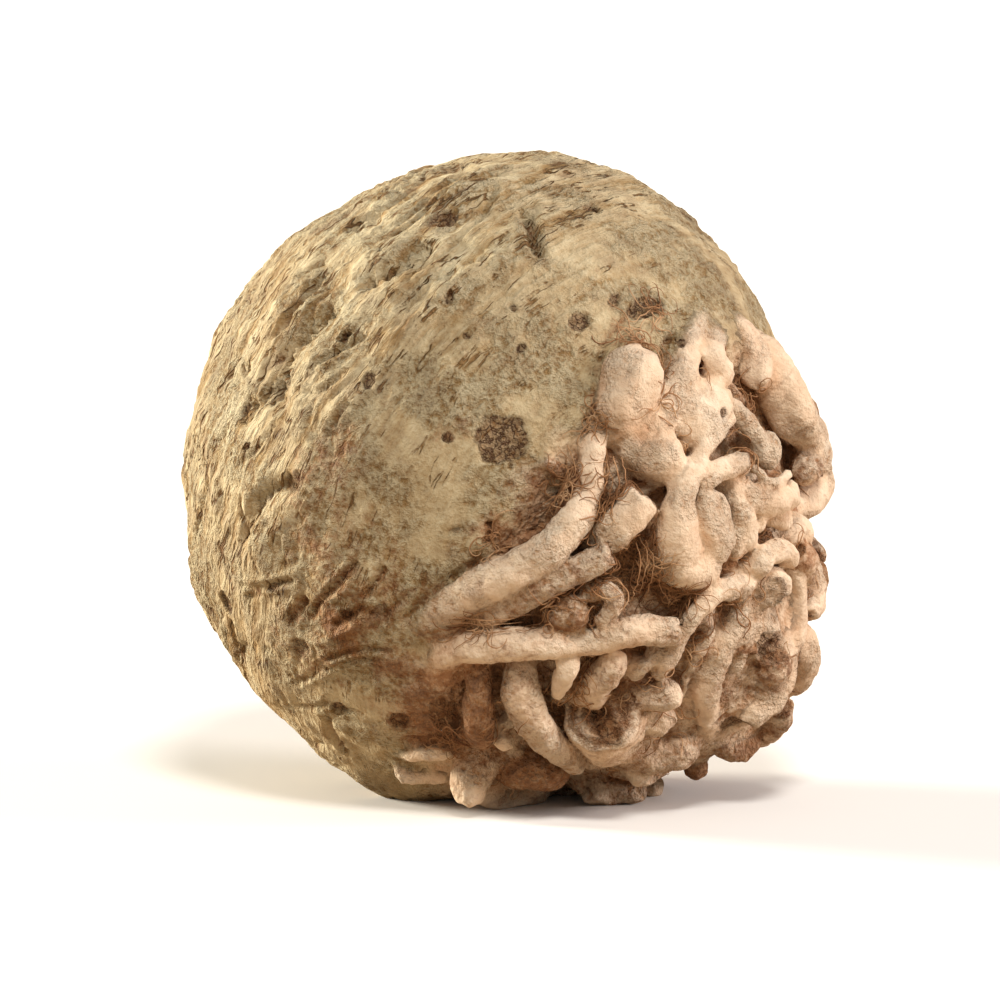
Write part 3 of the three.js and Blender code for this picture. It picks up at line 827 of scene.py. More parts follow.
# The furrows of the face: their points, then width, depth, sharp, soil and lip.
CREASES = tuple(Crease(*row) for row in (
    # upper left: long folds that run round the crown
    (((-44.5, 25), (-42, 27.5), (-40.5, 29.5), (-39, 32), (-37, 34), (-35.5, 36.5),
        (-33, 39)), 1.0, 1.2, 1.0, 0.9, 0.3),
    (((-43.5, 12), (-42, 17), (-40.5, 22), (-37, 27), (-33, 31),
        (-29.5, 34)), 3.2, 1.5, 2.0, 0.1, 0.2),
    (((-46.8, 9), (-45.5, 13), (-44.5, 17), (-43, 20)), 0.7, 0.8, 1.0, 0.6, 0.2),
    (((-52, 17), (-50, 19), (-48.5, 20.5), (-47, 21.5)), 1.7, 1.1, 1.6, 0.4, 0.3),
    (((-49, 9.5), (-47.5, 12.5), (-46.5, 15)), 2.2, 0.9, 2.0, 0.3),
    (((-42.5, 32.5), (-41, 34.5), (-39, 37), (-36, 39.5), (-32, 42)), 0.6, 0.8, 1.0, 0.7, 0.2),
    (((-37.5, 32.5), (-35.5, 35.5), (-34, 38), (-31, 40.5), (-27, 42)), 0.5, 0.6, 1.0, 0.8, 0.2),
    (((-50, 32), (-46, 34.5), (-43, 38), (-40.5, 41)), 0.5, 0.5, 1.0, 0.5, 0.1),
    (((-56, 11), (-52.5, 16.5), (-51.5, 22), (-49.5, 25.5)), 0.5, 0.5, 1.0, 0.5, 0.1),
    (((-57, 1), (-54.5, 4), (-52, 8), (-51, 9.5)), 0.5, 0.6, 1.0, 0.6, 0.1),
    (((-50, 1), (-46, 4.5), (-43, 8.5), (-41.5, 10.5)), 0.6, 0.6, 1.0, 0.6, 0.2),
    (((-17.5, 35), (-16.5, 37.5), (-15, 39.5), (-12, 41.5), (-8, 45), (-4.5, 48.5), (-2.5, 50.5),
        (-0.5, 54), (1, 57)), 0.6, 0.9, 1.0, 0.7, 0.25),
    (((-27, 36), (-21, 38.5), (-17.5, 40.5), (-15, 43), (-13, 45.5)), 2.6, 1.3, 2.0, 0.3, 0.1),
    (((-16.5, 40), (-14.5, 41.5), (-13, 44), (-12, 45.5)), 0.9, 0.7, 1.2, 0.5, 0.0),
    (((-29.5, 46), (-27.5, 49), (-25.5, 50.5), (-21, 52.5), (-17, 55),
        (-13, 57)), 0.8, 1.0, 1.0, 0.6, 0.3),
    (((-28, 47.5), (-25, 49.5), (-22, 51)), 1.9, 0.9, 2.0, 0.4, 0.0),
    (((-29, 53), (-25, 54), (-20, 55.5), (-18, 55)), 0.6, 0.7, 1.0, 0.4, 0.2),
    (((-25, 45), (-20, 46.5), (-15, 50), (-10, 54), (-4, 57), (4, 58.5)), 0.5, 0.6, 1.0, 0.5, 0.2),
    (((-22, 47.5), (-17, 50), (-12, 54.5), (-6, 58), (2, 59.5),
        (10, 60)), 0.5, 0.5, 1.0, 0.4, 0.2),
    (((-25, 41), (-22, 43), (-19, 44.5)), 0.4, 0.5, 1.0, 0.4, 0.1),
    (((-10, 36), (-8.5, 39), (-5, 41), (-1, 44)), 1.4, 0.6, 1.6, 0.3, 0.1),
    (((-18, 30), (-15, 34), (-12, 38), (-8, 42), (-4, 46)), 2.4, 0.7, 2.0, 0.0, 0.0),
    # right of the top: the slit
    (((6.3, 51), (6.8, 48.5), (7.2, 46), (7.8, 43.5), (9, 41)), 1.1, 2.0, 1.3, 0.9, 0.35),
    (((5.3, 52), (5.2, 50), (6.2, 48.5)), 0.35, 0.5, 1.0, 0.6, 0.1),
    # middle
    (((13, 33), (12, 28), (15, 22), (18, 17), (19, 12)), 0.5, 0.35, 1.0, 0.2, 0.0),
    (((2, 40), (6, 38), (10, 38.5), (14, 40)), 0.5, 0.4, 1.0, 0.2, 0.0),
    (((-36, 20), (-32, 22.5), (-28, 25), (-24, 27)), 0.6, 0.6, 1.0, 0.5, 0.3),
    (((-31, 9.5), (-29, 12), (-27, 13.5)), 0.5, 0.8, 1.0, 0.9, 0.2),
    (((-38, 15), (-33, 16.5), (-28, 20)), 0.5, 0.5, 1.0, 0.4, 0.2),
    # lower left: the rim, the long trough, and the strands that lead into the side roots
    (((-54, 1), (-56, -3), (-57.3, -9), (-58.3, -15), (-58.8, -20)), 0.5, 0.7, 1.0, 0.6, 0.2),
    (((-57, -16), (-57.6, -19), (-58, -23)), 0.4, 0.5, 1.0, 0.5, 0.1),
    (((-36, -3), (-41, -2.5), (-44.5, -4.5), (-47, -9), (-49, -15)), 1.7, 1.2, 1.5, 0.4, 0.3),
    (((-51.5, -27.5), (-51.3, -30), (-50.3, -34), (-49, -38)), 0.5, 0.9, 1.0, 0.9, 0.2),
    (((-53, -29), (-52, -33), (-50.5, -37), (-47, -41)), 0.4, 0.6, 1.0, 0.7, 0.1),
    (((-48, -24.2), (-46.5, -22.8), (-44.5, -22.3)), 0.8, 0.8, 1.2, 1.0, 0.3),
    (((-50, -21.5), (-44, -21.3), (-38, -20)), 0.6, 0.5, 1.0, 0.3, 0.4),
    (((-40, -28.8), (-38, -26), (-36.3, -23.5)), 0.9, 1.1, 1.0, 1.0, 0.2),
    (((-36, -28), (-34.5, -25.5), (-33, -24)), 0.5, 0.9, 1.0, 0.9, 0.2),
    (((-33.5, -24), (-30.5, -21.5), (-28, -18.5), (-26, -16.5)), 0.7, 1.1, 1.0, 1.0, 0.4),
    (((-25.2, -24), (-23.5, -21.5), (-20.8, -17.5)), 0.7, 1.2, 1.0, 1.0, 0.4),
    (((-31, -29), (-28, -27.5), (-25, -25)), 0.8, 0.9, 1.0, 0.9, 0.2),
    (((-23, -30), (-20, -26), (-16, -22.5), (-11, -19)), 0.6, 0.9, 1.0, 0.7, 0.3),
    (((-18, -29), (-13, -23.5), (-6, -18.5), (0, -15)), 0.6, 0.9, 1.0, 0.7, 0.3),
    (((-30, -24), (-26, -20.5), (-22, -16)), 1.3, -0.6, 1.6, 0.0),
    (((-21, -27.5), (-16, -22.5), (-9, -17)), 1.3, -0.7, 1.6, 0.0),
    (((-36, -33), (-30, -30.5), (-24, -27.5)), 1.2, -0.5, 1.6, 0.0),
    (((-40, -41), (-33, -37.5), (-26, -35.5), (-20, -35)), 0.6, 0.6, 1.0, 0.5, 0.3),
    (((-36, -38), (-30, -34.5), (-24, -33.5), (-18, -34)), 0.6, 0.6, 1.0, 0.5, 0.3),
    (((-32.5, -46), (-32, -49.5), (-30, -53), (-28, -56.5)), 0.9, 1.0, 1.2, 1.0, 0.3),
    (((-31, -46), (-27.5, -45.5), (-24.5, -46.5)), 0.6, 0.7, 1.0, 0.8, 0.2),
    (((-40, -44.5), (-35, -45), (-31.5, -43.5)), 0.6, 0.6, 1.0, 0.5, 0.2),
    (((-7, -39), (-7.3, -45), (-8, -50), (-13, -51), (-18.5, -50.3)), 1.0, 1.4, 1.2, 1.2, 0.3),
    # where the mid face meets the roots
    (((-10, -20.5), (-5, -17.5), (-1.5, -14.5)), 0.7, 1.0, 1.0, 1.0, 0.3),
    (((-1.2, -8.5), (-0.6, -11), (-1, -13.5)), 1.1, 1.3, 1.2, 1.4, 0.4),
    (((12.5, 5), (14.5, 1), (13.5, -3.5), (10, -8.5), (6.5, -11.5)), 1.1, 1.3, 1.2, 1.4, 0.3),
    (((-12, -11.5), (-7, -10.5), (-2.5, -11)), 0.6, 0.5, 1.0, 0.7, 0.3),
    (((18.5, 17), (19, 13), (17.5, 9.5)), 0.8, 0.8, 1.0, 1.2, 0.2),
    (((20, 23.5), (22.5, 27), (25, 30), (27.5, 33)), 0.7, 0.9, 1.0, 1.1, 0.3),
    (((4, -1), (1, -2.5), (0.5, -5)), 0.5, 0.4, 1.0, 0.5, 0.2),
    # between the swollen mounds over the roots
    (((34.5, 29), (33, 25), (31.5, 20), (29.5, 14.5), (28, 10)), 0.9, 1.1, 1.2, 1.2, 0.3),
    (((19.5, 10), (22, 8.5), (25, 9), (29, 10.5)), 0.9, 1.0, 1.2, 1.3, 0.3),
    (((19, 17), (19.8, 21), (21.5, 25)), 0.7, 0.8, 1.0, 1.0, 0.2),
    (((33, 17), (36, 14.5), (37.5, 10.5), (37, 7)), 0.8, 0.9, 1.2, 1.0, 0.3),
    (((40, 28), (39, 23), (40, 18), (42, 14)), 0.8, 0.9, 1.2, 1.0, 0.3),
    (((45, 26), (44.8, 21), (46.5, 17), (47, 13)), 0.8, 0.9, 1.2, 0.9, 0.3),
    (((31, 8), (34, 6.5), (38, 7), (41, 9)), 0.7, 0.8, 1.0, 1.0, 0.2),
    (((28.5, 3), (30, 0.5), (31.5, -2)), 0.7, 0.7, 1.0, 0.9, 0.2),
    # along the root plate, low on the right
    (((43, -27), (40.5, -33), (38, -39), (37, -45)), 0.8, 0.9, 1.2, 1.0, 0.3),
    (((48, -27), (45.5, -33), (44, -39), (43.5, -46)), 0.7, 0.8, 1.2, 0.9, 0.3),
    (((46, -40), (50, -41.5), (54, -40)), 0.8, 0.8, 1.2, 0.9, 0.3),
    (((47.5, -29), (48, -33), (50, -36.5), (54, -37)), 0.7, 0.7, 1.0, 0.9, 0.3),
    (((30, -49.5), (36, -50), (42, -47.5), (47, -46)), 0.8, 0.9, 1.2, 1.0, 0.3),
))

# The scars of the face: u, v, length, width, turn_deg, depth, rim, cork and rough.
SCARS = tuple(Scar(*row) for row in (
    (1.2, 6.8, 5.0, 4.9, 0, 0.5, 0.35, 1.0, 0.9), (16, 29, 2.3, 1.9, 20, 0.6, 0.4, 0.8, 0.4),
    (18.5, 52, 1.9, 1.3, -40, 0.9, 0.3, 0.9, 0.5), (-28.7, 26.5, 1.5, 1.0, 40, 2.0, 0.5, 1.0, 0.3),
    (-48.6, 12.5, 1.6, 0.8, 70, 0.7, 0.35, 0.9, 0.4), (-52, -25, 2.6, 1.9, 80, 0.6, 0.4, 0.8, 0.6),
    (-8.8, 34, 1.6, 0.9, 75, 0.9, 0.3, 0.7, 0.4), (-10, 49.5, 3.2, 2.0, 30, 0.6, 0.3, 0.8, 0.9),
    (-24, 18, 1.3, 1.8, 0, 0.4, 0.2, 0.8, 0.5), (5, 24, 1.1, 0.9, 30, 0.8, 0.3, 0.8, 0.3),
    (3.5, 32, 0.7, 1.0, 20, 0.7, 0.2, 0.7, 0.2), (-5.5, 26.5, 0.8, 0.8, 0, 0.7, 0.2, 0.7, 0.2),
    (-47.5, 5.3, 1.0, 0.7, 40, 0.8, 0.2, 0.9, 0.2), (-9, 7, 1.2, 1.0, 0, 0.5, 0.2, 0.9, 0.4),
    (-30, 7, 4.5, 2.6, 80, 0.25, 0.1, 0.4, 1.0), (-38.5, -1.5, 3.4, 2.0, 20, 0.4, 0.1, 0.5, 1.0),
    (-37.5, -33.5, 2.8, 2.2, 30, 0.3, 0.2, 0.5, 0.6), (-42.5, -21.8, 1.6, 0.9, 10, 0.5, 0.2, 0.8, 0.6),
    (-28.5, -26.8, 1.8, 0.9, 40, 0.7, 0.2, 0.9, 0.6), (-18.3, -47, 2.2, 1.9, 20, 0.7, 0.3, 0.9, 0.5),
    (-30, -45, 2.2, 1.5, 30, 0.6, 0.3, 0.8, 0.6), (-10, -46, 3.0, 4.0, 0, 0.4, 0.1, 0.8, 0.9),
    (-22, -26, 2.4, 1.2, 35, 0.4, 0.2, 0.5, 0.4), (29, 32.3, 4.6, 2.4, 15, 0.5, 0.3, 0.9, 0.9),
    (23, 33.5, 2.0, 1.2, 40, 0.4, 0.3, 0.7, 0.9), (52, -32, 3.4, 3.0, 0, 0.9, 0.5, 0.8, 0.8),
    (52, -32, 1.3, 1.1, 0, 1.0, 0.3, 1.0, 0.6), (20, -45.5, 2.2, 1.9, 0, 0.9, 0.5, 1.0, 0.6),
    (53.4, -22.6, 1.5, 1.3, 0, 0.7, 0.3, 1.0, 0.5), (41, 11, 1.2, 0.8, 60, 0.8, 0.3, 0.9, 0.4),
    (35, 25, 1.3, 0.8, 70, 0.7, 0.3, 0.9, 0.4), (46, -48, 3.2, 1.8, 20, 0.6, 0.3, 0.8, 0.8),
))


# Where soil was rubbed into the globe: u, v, radius in mm and strength.
SOIL_PATCHES: tuple[Row, ...] = (
    (-31, 3, 10, 0.42),
    (-26, -18, 17, 0.42),
    (-36, -32, 14, 0.42),
    (-12, -46, 16, 0.4),
    (-40, -12, 10, 0.25),
    (-20, -31, 12, 0.3),
    (-10, 49.5, 5, 0.4),
    (-2, -14, 10, 0.2),
    (-5, 20, 16, 0.12),
    (-8, 7, 6, 0.15),
    (6, -6, 8, 0.3),
    (22, 32, 8, 0.2),
)


@dataclass
class Relief:
    """What the marks on the skin do at each of its points."""

    height: Array
    soil: Array
    cork: Array

    @classmethod
    def flat(cls, count: int) -> "Relief":
        """Skin with no marks, at count points."""
        return cls(*(np.zeros(count, np.float32) for _ in range(3)))


@dataclass
class SkinMarks:
    """The creases and scars of the globe's skin: those of the face, and scattered scars elsewhere.

    Args:
        far_scars: How many scars are tried away from the face.
        far_polar_deg: Where they lie, from the root pole.
        far_size: Their half-length.
        seed: The seed of their draws.
        deepen: How much deeper every crease is made.
        thinnest: The least half-width of a crease.
        steep: How far up the skin may face before a scar's right is the x axis.
        face_share: Which way counts as facing the viewer.
    """

    far_scars: int = 90
    far_polar_deg: tuple[float, float] = (58.0, 168.0)
    far_size: tuple[float, float] = (0.5, 2.4)
    seed: int = 7
    deepen: float = 2.0
    thinnest: float = 0.65
    steep: float = 0.95
    face_share: float = 0.25

    def crease(self, p: Array, crease: Crease, relief: Relief, wander: Array) -> None:
        """Adds a crease to the relief.

        Args:
            p: Points of the skin.
            crease: The crease.
            relief: The relief, which is changed.
            wander: Noise for each point that breaks up the crease's edge.
        """
        points = np.array([GLOBE.on_face(u, v, 0.0) for u, v in crease.line])
        line, _ = smooth_line(points, np.zeros(len(points)), 1.0)
        reach = crease.width * 4.0 + 1.0
        near = np.flatnonzero(np.all((p > line.min(0) - reach) & (p < line.max(0) + reach), axis=1))
        if not len(near):
            return
        away = np.linalg.norm(p[near, None, :] - line[None, :, :], axis=2)
        closest = away.argmin(1)
        along = closest / (len(line) - 1)
        fade = smoothstep(along, 0.0, 0.16) * smoothstep(along, 1.0, 0.84)
        fade = fade * (0.75 + 0.5 * wander[near])
        off = away.min(1) * (1.0 + 0.25 * wander[near]) / max(crease.width, self.thinnest)
        dip = np.exp(-(off**crease.sharp)) * fade
        relief.height[near] -= self.deepen * crease.depth * dip
        relief.height[near] += self.deepen * crease.lip * np.exp(-(((off - 1.9) / 0.9) ** 2)) * fade
        relief.soil[near] = np.maximum(relief.soil[near], crease.soil * dip)

    def scar(self, p: Array, at: Array, scar: Scar, relief: Relief, wander: Array) -> None:
        """Adds a scar to the relief.

        Args:
            p: Points of the skin.
            at: The scar's middle on the skin.
            scar: The scar.
            relief: The relief, which is changed.
            wander: Noise for each point that roughens the scar's edge.
        """
        reach = 2.2 * max(scar.length, scar.width) + 1.0
        near = np.flatnonzero(np.all(np.abs(p - at) < reach, axis=1))
        if not len(near):
            return
        out, right = unit(at), np.array([1.0, 0.0, 0.0])
        if abs(out[2]) < self.steep:
            right = unit(np.cross(np.array([0.0, 0.0, 1.0]), out))
        up = np.cross(out, right)
        turn = math.radians(scar.turn_deg)
        away = p[near] - at
        a, b = away @ right, away @ up
        a, b = a * math.cos(turn) + b * math.sin(turn), b * math.cos(turn) - a * math.sin(turn)
        off = np.hypot(a / scar.length, b / scar.width) * (1.0 + 0.22 * wander[near])
        inside = smoothstep(off, 1.15, 0.8)
        relief.height[near] += scar.rim * np.exp(-(((off - 1.15) / 0.22) ** 2)) - scar.depth * inside
        relief.height[near] += scar.rough * inside * (0.5 * wander[near])
        relief.cork[near] = np.maximum(relief.cork[near], 0.9 * scar.cork * inside)
        relief.soil[near] = np.maximum(relief.soil[near], 0.2 * smoothstep(off, 1.7, 0.9))

    def draw(self, p: Array) -> Relief:
        """All the marks on the globe's skin.

        Args:
            p: Points of the skin, from the globe's centre.

        Returns:
            The relief at each point.
        """
        relief = Relief.flat(len(p))
        wander = GradientNoise(self.seed)(p / 1.3)
        for crease in CREASES:
            self.crease(p, crease, relief, wander)
        for scar in SCARS:
            self.scar(p, GLOBE.on_face(scar.u, scar.v, 0.0), scar, relief, wander)
        rng = np.random.default_rng(self.seed)
        for _ in range(self.far_scars):
            polar, around = rng.uniform(*self.far_polar_deg), rng.uniform(0.0, 360.0)
            d = GLOBE.from_pole(polar, around)
            size = rng.uniform(*self.far_size)
            oval, turn = rng.uniform(0.5, 0.9), rng.uniform(0.0, 180.0)
            depth = rng.uniform(0.3, 0.9)
            if FACE.from_part(d)[2] > self.face_share:
                continue
            scar = Scar(0, 0, size, size * oval, turn, depth, 0.3, 0.8, 0.5)
            self.scar(p, d * GLOBE.envelope(d), scar, relief, wander)
        return relief


# ---- material building

Colour = tuple[float, float, float, float]


def linear(red: int, green: int, blue: int) -> Colour:
    """A display colour, 0 to 255, as the linear colour that shaders use."""
    parts = [c / 255.0 for c in (red, green, blue)]
    return (*[c / 12.92 if c <= 0.04045 else ((c + 0.055) / 1.055) ** 2.4 for c in parts], 1.0)


@dataclass(frozen=True)
class Signal:
    """An output of a node. Adding, taking away and multiplying numbers adds Math nodes."""

    graph: Graph
    socket: bpy.types.NodeSocket

    def __add__(self, other: Signal | float) -> Signal:
        """The sum."""
        return self.graph.math("ADD", self, other)

    def __sub__(self, other: Signal | float) -> Signal:
        """The difference."""
        return self.graph.math("SUBTRACT", self, other)

    def __rsub__(self, other: float) -> Signal:
        """A plain number less this one."""
        return self.graph.math("SUBTRACT", other, self)

    def __mul__(self, other: Signal | float) -> Signal:
        """The product."""
        return self.graph.math("MULTIPLY", self, other)

    def __abs__(self) -> Signal:
        """The size without the sign."""
        return self.graph.math("ABSOLUTE", self)


Source = Signal | bpy.types.NodeSocket | bpy.types.Material | float | Colour | None


class Graph:
    """A node tree being built: each method adds a node and gives back its useful output."""

    def __init__(self, tree: bpy.types.NodeTree) -> None:
        """Starts on an existing tree."""
        self.tree = tree

    def node(self, kind: str, **settings: object) -> bpy.types.Node:
        """Adds a node of a kind and sets its properties."""
        made = self.tree.nodes.new(kind)
        for name, value in settings.items():
            setattr(made, name, value)
        return made

    def join(self, source: Source, socket: bpy.types.NodeSocket) -> None:
        """Links an output to a socket, or sets the socket where the source is a plain value."""
        if isinstance(source, Signal):
            source = source.socket
        if isinstance(source, bpy.types.NodeSocket):
            self.tree.links.new(source, socket)
        elif source is not None:
            socket.default_value = source

    def signals(self, node: bpy.types.Node) -> dict[str, Signal]:
        """A node's outputs by name."""
        return {s.name: Signal(self, s) for s in node.outputs}

    def attribute(self, name: str) -> dict[str, Signal]:
        """The outputs of an attribute of the mesh."""
        return self.signals(self.node("ShaderNodeAttribute", attribute_name=name))

    def math(self, operation: str, a: Source, b: Source = None) -> Signal:
        """A Math node."""
        made = self.node("ShaderNodeMath", operation=operation)
        self.join(a, made.inputs[0])
        self.join(b, made.inputs[1])
        return Signal(self, made.outputs[0])

    def span(self, value: Source, low: float, high: float, to: tuple[float, float] = (0.0, 1.0)) -> Signal:
        """A smooth step of a value between low and high."""
        made = self.node("ShaderNodeMapRange", interpolation_type="SMOOTHSTEP")
        for socket, given in zip(made.inputs, (value, low, high, *to)):
            self.join(given, socket)
        return Signal(self, made.outputs[0])

    def mix(self, amount: Source, a: Source, b: Source, blend: str = "MIX") -> Signal:
        """A mix of two colours."""
        made = self.node("ShaderNodeMix", data_type="RGBA", blend_type=blend)
        first, second = 6, 7
        self.join(amount, made.inputs["Factor"])
        self.join(a, made.inputs[first])
        self.join(b, made.inputs[second])
        return Signal(self, made.outputs[2])

    def noise(self, place: Source, per_metre: float, detail: float, rough: float) -> Signal:
        """Noise from 0 to 1, about per_metre spots to a metre."""
        made = self.node("ShaderNodeTexNoise")
        for name, given in zip(("Vector", "Scale", "Detail", "Roughness"), (place, per_metre, detail, rough)):
            self.join(given, made.inputs[name])
        return Signal(self, made.outputs["Fac"])

    def cells(self, place: Source, per_metre: float) -> Signal:
        """Distance from the middle of a cell, in a pattern of cells."""
        made = self.node("ShaderNodeTexVoronoi")
        self.join(place, made.inputs["Vector"])
        self.join(per_metre, made.inputs["Scale"])
        return Signal(self, made.outputs["Distance"])

    def ramp(self, amount: Source, *stops: tuple[float, Colour]) -> Signal:
        """A colour ramp with the given stops."""
        made = self.node("ShaderNodeValToRGB")
        elements = made.color_ramp.elements
        elements[0].position, elements[0].color = stops[0]
        elements[1].position, elements[1].color = stops[-1]
        for position, colour in stops[1:-1]:
            elements.new(position).color = colour
        self.join(amount, made.inputs[0])
        return Signal(self, made.outputs[0])

    def group(self, tree: bpy.types.NodeTree, **inputs: Source) -> dict[str, Signal]:
        """A shader node group with its inputs set by name, and its outputs by name."""
        made = self.node("ShaderNodeGroup", node_tree=tree)
        for name, given in inputs.items():
            self.join(given, made.inputs[name])
        return self.signals(made)

    def finish(self, shader: bpy.types.Node) -> None:
        """Makes a shader the material's surface."""
        out = self.node("ShaderNodeOutputMaterial")
        self.join(shader.outputs[0], out.inputs[0])


def new_material(name: str) -> tuple[bpy.types.Material, Graph]:
    """A new material and its empty node tree."""
    material = bpy.data.materials.new(name)
    material.use_nodes = True
    material.node_tree.nodes.clear()
    return material, Graph(material.node_tree)


def new_group(name: str, inputs: dict[str, str], outputs: dict[str, str]) -> tuple[Graph, dict, dict]:
    """A new shader node group.

    Args:
        name: Its name.
        inputs: Socket names and their types, such as Float, Color or Vector.
        outputs: The same for its outputs.

    Returns:
        The tree, what its inputs give by name, and its output sockets by name.
    """
    g = Graph(bpy.data.node_groups.new(name, "ShaderNodeTree"))
    for side, sockets in (("INPUT", inputs), ("OUTPUT", outputs)):
        for socket, kind in sockets.items():
            g.tree.interface.new_socket(socket, in_out=side, socket_type=f"NodeSocket{kind}")
    entry, leave = g.node("NodeGroupInput"), g.node("NodeGroupOutput")
    return g, g.signals(entry), {s.name: s for s in leave.inputs}


def grain_group() -> bpy.types.NodeTree:
    """Fine dry skin, smooth in places: a height for a bump, and a slow mottle for colours."""
    inputs = {"Vector": "Vector", "Coarse": "Float"}
    g, given, wanted = new_group("dry_grain", inputs, {"Height": "Float", "Mottle": "Float"})
    place, coarse = given["Vector"], given["Coarse"]
    body = g.noise(place, 1150.0, 3.0, 0.65) * 0.5 + g.noise(place, 520.0, 4.0, 0.62) * 0.5
    flakes = (g.cells(place, 700.0) - 0.5) * (coarse * 0.5)
    patch = g.span(g.noise(place, 75.0, 3.0, 0.55) + coarse * 0.12, 0.45, 0.6, (0.4, 1.6))
    g.join((body + flakes - 0.5) * patch + 0.5, wanted["Height"])
    g.join(g.noise(place, 240.0, 5.0, 0.65), wanted["Mottle"])
    return g.tree


def crack_group() -> bpy.types.NodeTree:
    """Streaks along the way the skin grew: their height, and thin broken lines from 0 to 1."""
    inputs = {"Grow": "Vector", "Vector": "Vector", "Amount": "Float"}
    g, given, wanted = new_group("skin_cracks", inputs, {"Line": "Float", "Height": "Float"})
    wave = g.noise(given["Grow"], 430.0, 4.0, 0.62)
    off = abs(g.noise(given["Grow"], 260.0, 3.0, 0.6) - 0.5)
    broken = g.noise(given["Vector"], 170.0, 4.0, 0.65) + given["Amount"] * 0.25
    line = g.span(off, 0.025, 0.0) * g.span(broken, 0.58, 0.75)
    g.join(line, wanted["Line"])
    g.join(wave - line * 0.6, wanted["Height"])
    return g.tree


def cork_group() -> bpy.types.NodeTree:
    """Corky scars: crumbs netted with dark cracks, as a colour and a height."""
    inputs = {"Vector": "Vector", "Color": "Color", "Amount": "Float"}
    g, given, wanted = new_group("cork", inputs, {"Color": "Color", "Height": "Float"})
    crumbs = g.noise(given["Vector"], 900.0, 4.0, 0.7)
    net = g.span(abs(g.noise(given["Vector"], 620.0, 2.0, 0.6) - 0.5), 0.06, 0.0)
    cover = g.span(given["Amount"] + (crumbs - 0.5) * 0.8, 0.15, 0.8)
    browns = linear(138, 98, 66), linear(182, 144, 106), linear(206, 174, 136)
    body = g.mix(cover * 0.65, given["Color"], g.ramp(crumbs, *zip((0.36, 0.5, 0.62), browns)))
    g.join(g.mix(net * cover * 0.7, body, linear(88, 46, 24)), wanted["Color"])
    g.join((crumbs * 0.7 - net * 0.6) * cover, wanted["Height"])
    return g.tree


def soil_and_gap_shade_group() -> bpy.types.NodeTree:
    """Dry soil rubbed into a skin, darkening and reddening it where there is more, and painted shade in gaps.
    """
    inputs = {"Vector": "Vector", "Color": "Color", "Soil": "Float", "Gap": "Float", "Line": "Float"}
    g, given, wanted = new_group("soil_stain_and_gap_shade", inputs, {"Color": "Color"})
    patch = g.noise(given["Vector"], 330.0, 7.0, 0.74)
    speck = g.noise(given["Vector"], 1200.0, 3.0, 0.65)
    cover = g.span(given["Soil"] + (patch - 0.5) * 1.7 + (speck - 0.5) * 0.8, 0.3, 1.0)
    browns = linear(190, 140, 94), linear(158, 106, 64), linear(112, 66, 34)
    stained = g.mix(cover * 0.85, given["Color"], g.ramp(patch, *zip((0.3, 0.5, 0.7), browns)))
    # Lines darken toward soil brown: soil lodged in creases, cracks and rings, and painted shade in the thin
    # lines.
    lined = g.mix(given["Line"] * 0.5, stained, browns[-1])
    # Painted shade: the gap value darkens narrow gaps between side roots to a near-black brown, broken up by
    # patch noise.
    deep = g.span(given["Gap"] + (patch - 0.5) * 0.5, 0.1, 0.85)
    g.join(g.mix(deep, lined, linear(84, 42, 20)), wanted["Color"])
    return g.tree


